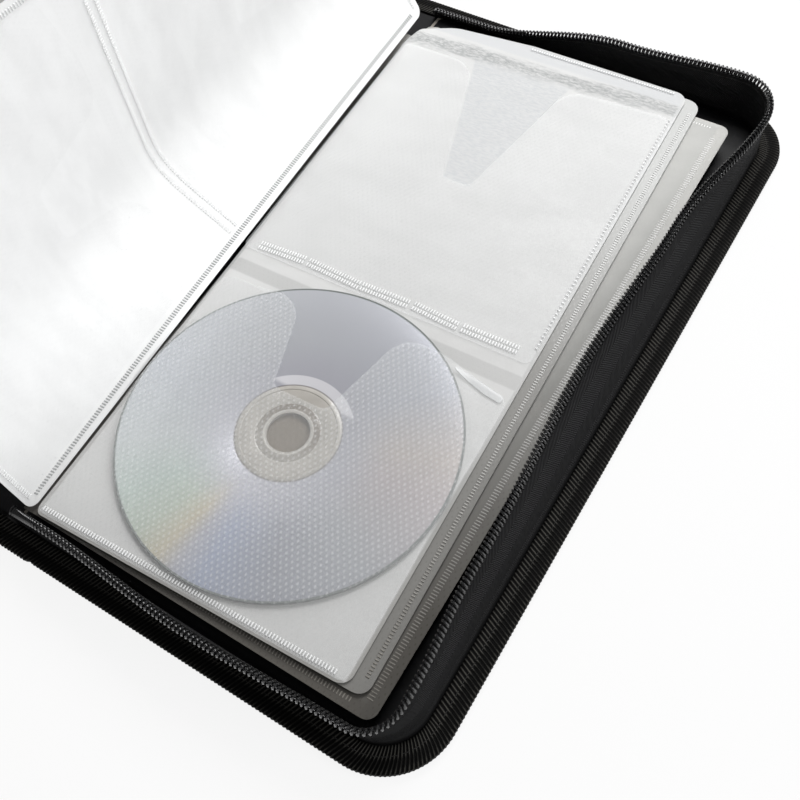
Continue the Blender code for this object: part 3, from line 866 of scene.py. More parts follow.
def wallStance(run, part):
    order = ("lower", "side", "upper")
    spot = order.index(run) * 2 + part
    places = [order.index(name) * 2 + share for name, share, _, _ in wallStations]
    for index in range(len(places) - 1):
        if spot <= places[index + 1] + 1e-9:
            share = ease(spot, places[index], places[index + 1])
            _, _, lean, height = wallStations[index]
            _, _, nextLean, nextHeight = wallStations[index + 1]
            return lean + (nextLean - lean) * share, height + (nextHeight - height) * share
    return wallStations[-1][2:]


def wallFace(lean, share, levels):
    # outer face of the tape from its foot up, as (inset, height)
    reach = caseSizes["tapeHeight"] * share - (caseSizes["wallKneeZ"] - caseSizes["wallFootZ"])
    inward = caseSizes["tapeHeight"] * lean
    rise = math.sqrt(reach ** 2 - inward ** 2)
    face = [Vector((caseSizes["wallInset"], caseSizes["wallFootZ"]))]
    for index in range(levels + 1):
        level = index / levels
        inset = caseSizes["wallInset"] + inward * level ** 1.4
        face.append(Vector((inset, caseSizes["wallKneeZ"] + rise * level)))
    return face


def placeInCase(side, station, inset, height):
    spot = station[0] + station[1] * inset
    return Vector((side * spot.x, spot.y, height))


def sweepRings(name, rings, along, around, finish, degrees=50):
    # closed sections carried along an edge, with their own flat layout in millimetres
    count = len(rings[0])
    points = [point for ring in rings for point in ring]
    faces = []
    uvs = []
    for row in range(len(rings) - 1):
        here = row * count
        there = here + count
        for index in range(count):
            after = (index + 1) % count
            faces.append((here + index, here + after, there + after, there + index))
            uvs += [
                (along[row], around[index]),
                (along[row], around[index + 1]),
                (along[row + 1], around[index + 1]),
                (along[row + 1], around[index]),
            ]
    for row, turn in ((0, -1), (len(rings) - 1, 1)):
        faces.append([row * count + index for index in range(count)][::turn])
        uvs += [(along[row], around[index]) for index in range(count)][::turn]
    return newPiece(name, points, faces, finish, uvs, degrees)


def ribbonSection(ribAt, lap=0.0):
    # the folded ribbon as (inset, height) in millimetres: underside, round edge, top, then back inside
    look = ribbonLook
    width = look["width"]
    top = look["top"] + lap * 0.6
    dip = look["dip"]

    def sunk(inset):
        return dip * math.exp(-((inset - look["stitchInset"]) / 0.8) ** 2)

    def proud(inset):
        return look["ribDepth"] * ribAt(inset)

    outer = []
    for inset in (width, look["stitchInset"], 2.4, 0.9):
        outer.append((inset, 0.02 + look["ribDepth"] - proud(inset) + sunk(inset)))
    outer.append((0.25 - lap * 0.6, 0.45 - proud(0) * 0.5))
    outer.append((0.22 - proud(0) - lap, 1.5))
    outer.append((0.25 - lap * 0.6, top - 0.45 + proud(0) * 0.5))
    for inset in (0.9, 2.6, 4.3, look["stitchInset"], 6.5, 7.6, width):
        outer.append((inset, top - look["ribDepth"] + proud(inset) - sunk(inset)))
    outer.append((width + 0.02, top - 0.3))
    inner = [
        (width, look["top"] - look["thick"] - 0.05),
        (0.9, look["top"] - look["thick"] - 0.05),
        (0.9, look["thick"] + 0.05),
        (width, look["thick"] + 0.05),
    ]
    return outer + inner


def makeRibbon(prefix, side):
    look = ribbonLook
    stations = edgeStations(0.0001, look["pitch"] / look["stationsPerRib"] / 1000)
    rings = []
    along = []
    for station in stations:
        distance = station[4] * 1000
        lap = 0.0
        if side == 1 and distance < look["lapEnd"]:
            # the ribbon's end is folded under and lies over its other end near the lower fold
            lap = look["lapThick"] * ease(look["lapEnd"] - distance, 0.0, 0.5)
        elif side == 1 and distance < look["lapEnd"] + look["lapRim"]:
            lap = -0.5 * math.sin(math.pi * (distance - look["lapEnd"]) / look["lapRim"])

        def ribAt(inset, distance=distance):
            turn = wave * (distance - look["slant"] * inset) / look["pitch"]
            return (0.5 + 0.5 * math.cos(turn)) ** 0.7

        section = ribbonSection(ribAt, lap)
        rings.append([placeInCase(side, station, x / 1000, z / 1000) for x, z in section])
        along.append(distance)
    section = ribbonSection(lambda inset: 0.5)
    around = [0.0]
    for index in range(len(section)):
        here = Vector(section[index])
        around.append(around[-1] + (Vector(section[(index + 1) % len(section)]) - here).length)
    ribbon = sweepRings(prefix + "BindingRibbon", rings, along, around, ribbonCloth, 60)
    return ribbon, stations[-1][4]


def stitchModel(length, thick):
    # one thread stitch: a bar with rounded ends
    clearSelection()
    bpy.ops.mesh.primitive_cylinder_add(
        vertices=6,
        radius=thick / 2,
        depth=length * 0.7,
        rotation=(0, math.pi / 2, 0),
        end_fill_type="NGON",
    )
    stitch = bpy.context.object
    bpy.ops.object.mode_set(mode="EDIT")
    bpy.ops.mesh.select_mode(type="FACE")
    for sign in (-1, 1):
        bpy.ops.mesh.select_all(action="DESELECT")
        bpy.ops.object.mode_set(mode="OBJECT")
        for face in stitch.data.polygons:
            if len(face.vertices) == 6 and face.normal.z * sign > 0.9:
                face.select = True
        bpy.ops.object.mode_set(mode="EDIT")
        bpy.ops.mesh.extrude_region_move(
            TRANSFORM_OT_translate={"value": (sign * length * 0.15, 0, -thick * 0.35)}
        )
        bpy.ops.transform.resize(value=(1, 0.5, 0.5))
    bpy.ops.object.mode_set(mode="OBJECT")
    bpy.ops.object.transform_apply(location=True, rotation=True, scale=True)
    return stitch


def copyTo(name, model, places, finish, degrees=50):
    # the model is copied to each place, each copy with its own mesh, and the copies are joined
    copies = []
    for place in places:
        copy = model.copy()
        copy.data = model.data.copy()
        copy.data.transform(place)
        copy.matrix_world = Matrix.Identity(4)
        bpy.context.scene.collection.objects.link(copy)
        copies.append(copy)
    bpy.data.objects.remove(model, do_unlink=True)
    piece = joinPieces(name, copies)
    dress(piece, finish)
    smoothBy(piece, degrees)
    return piece


def makeRibbonStitches(prefix, side):
    look = ribbonLook
    pitch = (look["stitch"] + look["stitchGap"]) / 1000
    stations = edgeStations(0.002, 0.0005)
    places = []
    inset = look["stitchInset"] / 1000
    target = 0.001
    for before, here in zip(stations, stations[1:]):
        if here[4] < target:
            continue
        turning = before[1] != here[1]
        target += pitch / (1 - inset / caseSizes["corner"]) if turning else pitch
        for height, flip in ((look["top"] - look["dip"] - 0.02, 1), (look["dip"] + 0.06, -1)):
            origin = placeInCase(side, here, inset, height / 1000)
            ahead = placeInCase(side, here, inset, 0) - placeInCase(side, before, inset, 0)
            ahead.normalize()
            up = Vector((0, 0, flip))
            places.append(frameFrom(origin, ahead, up.cross(ahead), up))
    stitch = stitchModel(look["stitch"] / 1000, 0.00032)
    return copyTo(prefix + "RibbonStitches", stitch, places, blackThread)


def wallSection(side, station, levels):
    lean, share = wallStance(station[2], station[3])
    outer = wallFace(lean, share, levels)
    ripple = tapeLook["ripple"]
    for index, spot in enumerate(outer[1:]):
        level = index / levels
        swell = noise.noise(Vector((station[4] * 28, level * 1.5, side * 3.7)))
        outer[index + 1] = Vector((spot.x + swell * ripple * math.sin(math.pi * level * 0.85), spot.y))
    inner = [outer[0] + Vector((caseSizes["tapeThick"], 0))]
    for before, here in zip(outer, outer[1:]):
        along = (here - before).normalized()
        inner.append(here + Vector((along.y, -along.x)) * caseSizes["tapeThick"])
    return outer, inner


def makeTape(prefix, side):
    stations = edgeStations(caseSizes["hingeX"] + 0.0003, tapeLook["step"], 0.8)
    rings = []
    along = []
    for station in stations:
        outer, inner = wallSection(side, station, tapeLook["levels"])
        ring = outer + inner[::-1]
        rings.append([placeInCase(side, station, spot.x, spot.y) for spot in ring])
        along.append(station[4] * 1000)
    height = caseSizes["tapeHeight"] * 1000
    faceCount = tapeLook["levels"] + 2
    up = [height * (1 - index / (faceCount - 1)) for index in range(faceCount)]
    around = up + up[::-1] + [height]
    tape = sweepRings(prefix + "ZipTape", rings, along, around, tapeCloth)
    return tape, stations[-1][4]


coilLook = {
    "pitch": 0.00165,
    "wire": 0.00037,
    "halfThick": 0.0012,
    "halfHeight": 0.0019,
    "centre": 0.00045,
    "slant": 0.3,
    "thread": 0.00034,
    "threadLength": 0.00135,
}


def coilModel():
    # one turn of the coil: a flattened ring of wire
    clearSelection()
    bpy.ops.mesh.primitive_torus_add(
        major_radius=coilLook["halfThick"] - coilLook["wire"] / 2,
        minor_radius=coilLook["wire"],
        major_segments=12,
        minor_segments=5,
    )
    ring = bpy.context.object
    editAll()
    bpy.ops.transform.resize(value=(1, coilLook["halfHeight"] / coilLook["halfThick"], 1.25))
    bpy.ops.object.mode_set(mode="OBJECT")
    return ring


def evenPlaces(points, pitch):
    # evenly spaced spots along a line of points, as (index, share)
    spots = []
    target = pitch / 2
    run = 0.0
    for index in range(len(points) - 1):
        length = (points[index + 1] - points[index]).length
        while target <= run + length and length > 0:
            spots.append((index, (target - run) / length))
            target += pitch
        run += length
    return spots


def coilFrames(side):
    stations = edgeStations(caseSizes["hingeX"] + 0.0012, 0.0008, 0.6)
    frames = []
    for station in stations:
        outer, _ = wallSection(side, station, tapeLook["levels"])
        along = (outer[-1] - outer[-2]).normalized()
        across = Vector((along.y, -along.x))
        rise = Vector((side * station[1].x * along.x, station[1].y * along.x, along.y))
        inward = Vector((side * station[1].x * across.x, station[1].y * across.x, across.y))
        edge = placeInCase(side, station, outer[-1].x, outer[-1].y)
        frames.append((edge, inward, rise))
    return frames


def coilSpots(side):
    # the frames before and after each turn of the coil, the share between them and the tape's edge
    frames = coilFrames(side)
    for index, share in evenPlaces([edge for edge, _, _ in frames], coilLook["pitch"]):
        here = frames[index]
        there = frames[index + 1]
        yield here, there, share, here[0].lerp(there[0], share)


def makeCoil(prefix, side):
    out = coilLook["halfThick"] - caseSizes["tapeThick"] * 0.75
    places = []
    for here, there, share, edge in coilSpots(side):
        inward = here[1].lerp(there[1], share).normalized()
        rise = here[2].lerp(there[2], share).normalized()
        ahead = inward.cross(rise)
        centre = edge + rise * coilLook["centre"] - inward * out
        places.append(frameFrom(centre, inward + ahead * coilLook["slant"], rise, ahead))
    return copyTo(prefix + "ZipCoil", coilModel(), places, coilPlastic)


def makeCoilThread(prefix, side):
    # the chain of sewing thread that holds the coil to the tape, outside and inside
    places = []
    for here, there, _, edge in coilSpots(side):
        ahead = (there[0] - here[0]).normalized()
        for depth, drop in ((-0.00088, 0.0009), (caseSizes["tapeThick"] + 0.00008, 0.0013)):
            origin = edge + here[1] * depth - here[2] * drop
            out = here[1] if depth > 0 else -here[1]
            places.append(frameFrom(origin, ahead, out.cross(ahead), out))
    stitch = stitchModel(coilLook["threadLength"], coilLook["thread"])
    return copyTo(prefix + "CoilThread", stitch, places, blackThread)


capLook = {"long": 0.0042, "thick": 0.0024, "foot": 0.0032, "top": 0.0075}


def makeTapeCaps(prefix, side):
    # a folded cloth tab closes each end of the tape
    clearSelection()
    bpy.ops.mesh.primitive_cube_add(size=1)
    cap = bpy.context.object
    editAll()
    tall = capLook["top"] - capLook["foot"]
    bpy.ops.transform.resize(value=(capLook["long"], capLook["thick"], tall))
    bpy.ops.mesh.bevel(offset=0.0006, segments=3, affect="EDGES")
    bpy.ops.mesh.select_all(action="SELECT")
    bpy.ops.mesh.subdivide(number_cuts=1)
    bpy.ops.object.mode_set(mode="OBJECT")
    places = []
    for end in (-1, 1):
        y = end * (caseSizes["endY"] - caseSizes["wallInset"] - 0.0004)
        x = side * (caseSizes["hingeX"] + 0.0004 + capLook["long"] / 2)
        z = (capLook["top"] + capLook["foot"]) / 2
        places.append(Matrix.Translation((x, y, z)))
    return copyTo(prefix + "TapeEndCaps", cap, places, nylon, 40)


coverLook = {"inset": 0.0009, "low": 0.0009, "thick": 0.0009, "crown": 0.0006}


def coverRows(inset, foldStep):
    # x places from the middle of the spine outwards, closer together over the fold
    fold = []
    x = 0.0
    while x < caseSizes["foldTo"]:
        fold.append(x)
        x += 0.003
    x = caseSizes["foldTo"]
    while x < caseSizes["foldFrom"] + 0.002:
        fold.append(x)
        x += foldStep
    far = caseSizes["outerX"] - inset
    start = fold[-1]
    count = 30
    for index in range(1, count + 1):
        fold.append(start + (far - 0.012 - start) * index / count)
    for index in range(1, 9):
        fold.append(far - 0.012 + 0.012 * math.sin(math.pi / 2 * index / 8))
    return fold


def halfWidthAt(x, inset):
    high = caseSizes["endY"] - inset
    radius = caseSizes["corner"] - inset
    over = x - (caseSizes["outerX"] - inset - radius)
    if over <= 0:
        return high
    return high - radius + math.sqrt(max(0.0, radius ** 2 - over ** 2))


def clothGrid(name, rows, heightAt, inset, finish, side, columns=44):
    points = []
    uvs = []
    faces = []
    for x in rows:
        reach = halfWidthAt(x, inset)
        for index in range(columns + 1):
            y = reach * math.sin(math.pi / 2 * (2 * index / columns - 1))
            points.append((side * x, y, heightAt(x, y, reach)))
    width = columns + 1
    for row in range(len(rows) - 1):
        for index in range(columns):
            here = row * width + index
            face = (here, here + width, here + width + 1, here + 1)
            faces.append(face)
            uvs += [(points[spot][0] * 1000, points[spot][1] * 1000) for spot in face]
    return newPiece(name, points, faces, finish, uvs, 70)


def thicken(piece, thickness, offset):
    solid = piece.modifiers.new("thickness", "SOLIDIFY")
    solid.thickness = thickness
    solid.offset = offset
    applyAll(piece)
    turnOutwards(piece)
    smoothBy(piece, 50)
    return piece


def makeCover(prefix, side):
    look = coverLook

    def height(x, y, reach):
        outside = max(0.0, caseSizes["outerX"] - 0.009 - x)
        inner = min(1.0, max(0.0, x - 0.024) / 0.03, outside / 0.02)
        inner *= min(1.0, max(0.0, reach - abs(y) - 0.008) / 0.02)
        swell = look["crown"] * math.sin(math.pi / 2 * inner) if inner > 0 else 0.0
        crease = 0.0003 * math.exp(-((x - caseSizes["hingeX"]) / 0.0012) ** 2)
        dent = 0.00012 * noise.noise(Vector((x * 30, y * 30, side * 2.0)))
        return look["low"] + look["thick"] / 2 - swell + crease + dent

    rows = coverRows(look["inset"], 0.0004)
    cover = clothGrid(prefix + "CoverCloth", rows, height, look["inset"], nylon, side)
    return thicken(cover, look["thick"], 0)


def makeLining(prefix, side):
    look = liningLook
    inset = look["inset"]

    def height(x, y, reach):
        ramp = ease(x, 0.0235, 0.0275)
        crinkle = noise.noise(Vector((x * 55, y * 55, side * 5.0))) * 0.00022 * ramp
        crinkle += noise.noise(Vector((x * 140, y * 140, side * 1.0))) * 0.0001 * ramp
        edge = ease(reach - abs(y), 0.0, look["edge"])
        edge *= ease(caseSizes["outerX"] - inset - x, 0.0, look["edge"])
        return look["low"] + (look["rise"] + crinkle) * ramp * (0.6 + 0.4 * edge)

    rows = coverRows(inset, 0.0004)
    return clothGrid(prefix + "InnerLining", rows, height, inset, liningCloth, side, 90)


def leafPlace(side, x, y, z):
    skew = leafSizes["skew"]
    along = leafSizes["gutterX"] + x * math.cos(skew) - y * math.sin(skew)
    return Vector((side * along, leafSizes["lowY"] + x * math.sin(skew) + y * math.cos(skew), z))


def roundedOutline(corners, steps=7):
    points = []
    for index, (x, y, radius) in enumerate(corners):
        corner = Vector((x, y))
        if radius == 0:
            points.append(corner)
            continue
        before = (Vector(corners[index - 1][:2]) - corner).normalized()
        after = (Vector(corners[(index + 1) % len(corners)][:2]) - corner).normalized()
        halfAngle = before.angle(after) / 2
        reach = radius / math.tan(halfAngle)
        centre = corner + (before + after).normalized() * radius / math.sin(halfAngle)
        start = corner + before * reach - centre
        turn = start.angle_signed(corner + after * reach - centre)
        for step in range(steps + 1):
            points.append(centre + Matrix.Rotation(-turn * step / steps, 2) @ start)
    return points


def cutSheet(name, outline, place, thickness, cell, finish, degrees=50):
    # a sheet cut to its outline, divided into cells and laid where place puts each point
    cloth = bmesh.new()
    cloth.faces.new([cloth.verts.new((x, y, 0)) for x, y in outline])
    for axis in (0, 1):
        low = min(point[axis] for point in outline)
        high = max(point[axis] for point in outline)
        count = max(1, round((high - low) / cell))
        for index in range(1, count):
            spot = [0, 0, 0]
            spot[axis] = low + (high - low) * index / count
            normal = [0, 0, 0]
            normal[axis] = 1
            everything = cloth.verts[:] + cloth.edges[:] + cloth.faces[:]
            bmesh.ops.bisect_plane(cloth, geom=everything, dist=1e-7, plane_co=spot, plane_no=normal)
    layout = cloth.loops.layers.uv.new("cut")
    for face in cloth.faces:
        for corner in face.loops:
            corner[layout].uv = (corner.vert.co.x * 1000, corner.vert.co.y * 1000)
    for point in cloth.verts:
        point.co = place(point.co.x, point.co.y)
    mesh = bpy.data.meshes.new(name)
    cloth.to_mesh(mesh)
    cloth.free()
    mesh.materials.append(finish)
    piece = linked(name, mesh)
    return thicken(piece, thickness, 0) if thickness else piece


def sheetOutline(low, right, length, corner):
    corners = ((low, 0), (right, 0), (right, length), (low, length))
    return roundedOutline([(x, y, corner) for x, y in corners])


def outlineArea(outline):
    total = 0.0
    for index, here in enumerate(outline):
        before = outline[index - 1]
        total += before[0] * here[1] - here[0] * before[1]
    return abs(total) / 2


def dashModel(width, length, height):
    # one weld dash: a low bar that narrows upwards
    clearSelection()
    bpy.ops.mesh.primitive_cube_add(size=1)
    dash = bpy.context.object
    editAll()
    bpy.ops.transform.resize(value=(width, length, height))
    bpy.ops.mesh.select_mode(type="FACE")
    bpy.ops.mesh.select_all(action="DESELECT")
    bpy.ops.object.mode_set(mode="OBJECT")
    for face in dash.data.polygons:
        face.select = face.normal.z > 0.9
    bpy.ops.object.mode_set(mode="EDIT")
    bpy.ops.transform.resize(value=(0.5, 0.82, 1))
    bpy.ops.object.mode_set(mode="OBJECT")
    return dash


weldLook = {
    "pitch": 0.00112,
    "width": 0.00056,
    "length": 0.0018,
    "height": 0.00022,
    "levels": (0.1274, 0.1296),
    "runs": (  # start, end and tilt of the rows between the pockets
        (0.008, 0.0292, -0.0012),
        (0.0292, 0.0528, 0.0009),
        (0.053, 0.0742, -0.0006),
        (0.0745, 0.0945, 0.0011),
        (0.0948, 0.118, -0.0003),
    ),
}


def dashRow(start, end, place, finish, length=None, pitch=None, lean=0.0):
    # a row of dashes from start to end on the leaf, each across the row
    length = length or weldLook["length"]
    pitch = pitch or weldLook["pitch"]
    line = Vector(end) - Vector(start)
    dash = dashModel(weldLook["width"], length, weldLook["height"])
    row = dash.modifiers.new("row", "ARRAY")
    row.use_relative_offset = False
    row.use_constant_offset = True
    row.constant_offset_displace = (pitch, 0, 0)
    row.count = max(2, int(line.length / pitch))
    applyAll(dash)
    direction = line.normalized()
    side = Vector((-direction.y, direction.x))
    for point in dash.data.vertices:
        x, y, z = point.co
        flat = Vector(start) + direction * (x + y * lean) + side * y
        point.co = place(flat.x, flat.y, z)
    dress(dash, finish)
    dash.matrix_world = Matrix.Identity(4)
    return dash


def weldPiece(name, rows, place, finish):
    parts = []
    for start, end, extra in rows:
        parts.append(dashRow(start, end, place, finish, **extra))
    welds = joinPieces(name, parts)
    turnOutwards(welds)
    smoothBy(welds, 30)
    return welds


def pocketOutline(low, leftMouth, leftSlope, rightSlope, rightMouth, leftEdge=0.0030):
    # a film cut with a slanted thumb notch: each slope is its shoulder, then its floor corner
    right = leafSizes["width"] - 0.0012
    return roundedOutline(
        [
            (leftEdge - 0.0012, low, 0.003),
            (right, low, 0.003),
            (right, rightMouth[1], 0.004),
            (rightMouth[0], rightMouth[2], 0.02),
            (*rightSlope[0], 0.0105),
            (*rightSlope[1], 0.0035),
            (*leftSlope[1], 0.0035),
            (*leftSlope[0], 0.013),
            (leftEdge, leftMouth, 0.006),
        ]
    )


upperPocket = pocketOutline(
    0.1245,
    0.249,
    ((0.0365, 0.249), (0.0545, 0.188)),
    ((0.0785, 0.2505), (0.066, 0.188)),
    (0.09, 0.2535, 0.252),
)
lowerPocket = pocketOutline(
    0.0008,
    0.1105,
    ((0.0375, 0.1118), (0.0478, 0.0765)),
    ((0.0785, 0.1152), (0.0692, 0.0765)),
    (0.098, 0.1085, 0.1145),
)
discSpot = (0.0621, 0.0638)


def discLift(x, y):
    # the lower film lies on the disc and falls to the leaf beside it
    away = math.hypot(x - discSpot[0], y - discSpot[1])
    return 0.00165 * (1 - ease(away, 0.0585, 0.0645))


def makeLeaves(prefix, hand, side, body):
    sizes = leafSizes
    made = {}

    def flatPlace(z, ripple=0.0, seed=0.0):
        def place(x, y, lift=0.0):
            swell = noise.noise(Vector((x * 24, y * 24, seed + side))) * ripple
            return leafPlace(side, x, y, z + swell + lift)

        return place

    def rootPlace(x, y, lift=0.0):
        # beside the gutter the leaf bends down to its root
        share = min(1.0, max(0.0, y / sizes["length"]))
        bend = 0.0046 + 0.0014 * share
        drop = 0.0007 + 0.0021 * share
        turn = min(1.0, max(0.0, (bend - x) / bend))
        swell = noise.noise(Vector((x * 24, y * 24, 1.0 + side))) * 0.00006
        sunk = drop * (1 - math.sqrt(1 - turn ** 2)) if turn < 1 else drop
        return leafPlace(side, x + 0.0012 * turn, y, sizes["topZ"] + 0.00025 + swell - sunk + lift)

    topOutline = roundedOutline(
        [
            (0, 0, 0.004),
            (sizes["width"], 0, 0.0045),
            (sizes["width"], 0.2690, 0.005),
            (0.055, 0.2698, 0.03),
            (0.019, 0.2665, 0.02),
            (0.0045, 0.2595, 0.006),
            (0, 0.249, 0.012),
        ]
    )
    top = cutSheet(hand + "TopLeaf", topOutline, rootPlace, sizes["thick"], 0.004, pageCloth)
    made["top"] = settle(top, body, [hand + "_top_leaf"])
    reach = sizes["width"] + sizes["underReach"]
    underPlace = flatPlace(sizes["underZ"] + 0.00025, 0.00006, 2.0)
    underOutline = roundedOutline(
        [
            (0.002, 0, 0.004),
            (reach, 0, 0.0045),
            (reach, 0.2678, 0.0055),
            (0.03, 0.2685, 0.03),
            (0.004, 0.258, 0.01),
        ]
    )
    name = hand + "UnderLeaf"
    under = cutSheet(name, underOutline, underPlace, sizes["thick"], 0.006, underCloth)
    made["under"] = settle(under, body, [hand + "_under_leaf"])

    width = sizes["width"]
    length = sizes["length"]
    onFilm = flatPlace(sizes["filmZ"] + 0.0002)
    edge = width - 0.0018
    rows = [
        ((0.004, 0.0026), (width - 0.004, 0.0026), {}),
        ((0.055, length - 0.0022), (width - 0.004, length - 0.0022), {"length": 0.0009}),
        ((edge, 0.132), (edge, length - 0.014), {"length": 0.0009, "pitch": 0.0018}),
    ]
    for start, end, tilt in weldLook["runs"]:
        for level in weldLook["levels"]:
            rows.append(((start, level + tilt / 2), (end, level - tilt / 2), {"length": 0.0018}))
    welds = weldPiece(hand + "TopLeafWelds", rows, onFilm, brightWeld)
    made["topWelds"] = settle(welds, body)
    overUnder = flatPlace(sizes["underZ"] + 0.0006)
    rows = [((reach - 0.0026, 0.006), (reach - 0.0026, length - 0.008), {"length": 0.0014})]
    welds = weldPiece(hand + "UnderLeafWelds", rows, overUnder, fadingWeld)
    made["underWelds"] = settle(welds, body)

    low = sizes["filmZ"] + 0.00012
    hasDisc = side == 1

    def upperHeight(x, y, lift=0.0):
        gap = ease(y, 0.23, 0.262) * 0.0007
        gap += noise.noise(Vector((x * 30, y * 18, 4.0 + side))) * 0.00008
        return leafPlace(side, x, y, low + gap + lift)

    def lowerHeight(x, y, lift=0.0):
        rise = discLift(x, y) if hasDisc else ease(y, 0.1, 0.114) * 0.0005
        swell = noise.noise(Vector((x * 26, y * 26, 6.0 + side))) * 0.00006
        return leafPlace(side, x, y, low + rise + swell + lift)

    thick = sizes["filmThick"]
    upper = cutSheet(hand + "UpperFilm", upperPocket, upperHeight, thick, 0.004, clearFilm)
    made["upper"] = settle(upper, body, [hand + "_upper_pocket"])
    lower = cutSheet(hand + "LowerFilm", lowerPocket, lowerHeight, thick, 0.0025, clearFilm)
    made["lower"] = settle(lower, body, [hand + "_lower_pocket"])
    if hasDisc:
        # the mouth is pulled into a fold beside the disc; the fold's more opaque film makes a painted
        # highlight along the crease
        corners = (
            (0.0955, 0.1136), (0.1205, 0.1092), (0.1205, 0.1064), (0.114, 0.1072), (0.104, 0.1102),
        )
        fold = roundedOutline([(*point, 0.0006) for point in corners], 3)

        def foldHeight(x, y):
            return lowerHeight(x, y, 0.0003)

        crease = cutSheet(hand + "PocketFold", fold, foldHeight, 0.00008, 0.0015, foldedFilm)
        made["crease"] = settle(crease, body)
    return made


stackLook = {
    "count": 9,
    "low": 0.0053,
    "pitch": 0.0009,
    "thick": 0.00034,
    "uneven": (0.0022, 0.0013, 0.0017, 0.0009, 0.0012, 0.0006, 0.0008, 0.0002, 0.0),
}


def makeStack(hand, side, body):
    near = caseSizes["hingeX"] + 0.0028
    lowY = -caseSizes["endY"] + 0.0132 - 0.0003
    for index in range(stackLook["count"]):
        height = stackLook["low"] + stackLook["pitch"] * index
        part = (height - 0.0051) / 0.0081
        uneven = stackLook["uneven"][index]
        roll = 0.0081 * (1 - math.sqrt(1 - 0.9 * min(1.0, part) ** 2))
        right = 0.1425 - uneven
        bottom = uneven * 0.6
        top = 0.2662 - uneven

        def place(x, y, lift=0.0, height=height, roll=roll, index=index):
            bend = roll + 0.0028
            z = height
            if x < bend + 0.001:
                turn = (bend + 0.001 - x) / (bend + 0.001)
                z = height - (height - 0.0049) * (1 - math.sqrt(max(0.0, 1 - turn ** 2)))
            swell = noise.noise(Vector((x * 20, y * 20, index + side * 9.0))) * 0.00012
            edgeSag = ease(x, 0.125, 0.1425) * 0.0002 * math.sin(index * 2.1)
            away = near + roll * 0.25 * (index / 8) + x
            return Vector((side * away, lowY + y, z + swell - edgeSag + lift))

        outline = roundedOutline(
            [(0, bottom, 0.003), (right, bottom, 0.004), (right, top, 0.004), (0, top, 0.003)]
        )
        name = hand + "StackLeaf" + str(index + 1)
        cell = 0.0075 if index < 8 else 0.004
        leaf = cutSheet(name, outline, place, stackLook["thick"], cell, stackCloth)
        settle(leaf, body, [hand + "_leaf_stack"] if index == 0 else ())
        if index in (8, 7):
            rows = [((right - 0.0042, 0.006), (right - 0.0042, top - 0.006), {"length": 0.0024})]
            if index == 8:
                rows.append(((0.02, bottom + 0.003), (right - 0.008, bottom + 0.003), {}))
                rows.append(((0.07, top - 0.003), (right - 0.006, top - 0.003), {"length": 0.0012}))

            def onLeaf(x, y, z, place=place):
                return place(x, y, z + stackLook["thick"] / 2)

            welds = weldPiece(hand + "StackWelds" + str(index + 1), rows, onLeaf, fadingWeld)
            settle(welds, body)


turningLook = {"width": 0.13, "steps": 52, "fromGutter": 0.0001}


def turningProfile(share):
    middle = math.sin(math.pi * share)
    rootAngle = math.radians(80 - 33 * middle - 20 * share)
    farAngle = math.radians(77 + 13 * middle + 24 * max(0.0, share - 0.55))
    steps = turningLook["steps"]
    spot = Vector((0, 0))
    curve = [spot.copy()]
    for step in range(steps):
        way = (step + 0.5) / steps
        part = min(1, max(0, (way - 0.2) / 0.23))
        curl = min(1, max(0, (way - 0.75) / 0.25))
        angle = rootAngle + (farAngle - rootAngle) * part * part * (3 - 2 * part)
        angle -= math.radians(38) * curl * (1 - middle) * (1 - 0.9 * share)
        spot = spot + Vector((-math.cos(angle), math.sin(angle))) * turningLook["width"] / steps
        curve.append(spot.copy())
    return curve


turningCurves = [turningProfile(index / 60) for index in range(61)]


def turningPlace(x, y, lift=0.0):
    share = min(1.0, max(0.0, y / leafSizes["length"])) * 60
    row = min(59, int(share))
    way = min(1.0, max(0.0, x / turningLook["width"])) * turningLook["steps"]
    step = min(turningLook["steps"] - 1, int(way))
    corners = []
    for curve in (turningCurves[row], turningCurves[row + 1]):
        here = curve[step].lerp(curve[step + 1], way - step)
        corners.append((here, (curve[step + 1] - curve[step]).normalized()))
    spot = corners[0][0].lerp(corners[1][0], share - row)
    along = corners[0][1].lerp(corners[1][1], share - row).normalized()
    out = Vector((along.y, -along.x))
    billow = noise.noise(Vector((x * 26, y * 20, 8.0))) * 0.0004 * ease(x, 0.0, 0.03)
    spot = spot + out * (lift + billow)
    return leafPlace(1, spot.x + turningLook["fromGutter"], y, leafSizes["topZ"] + spot.y)


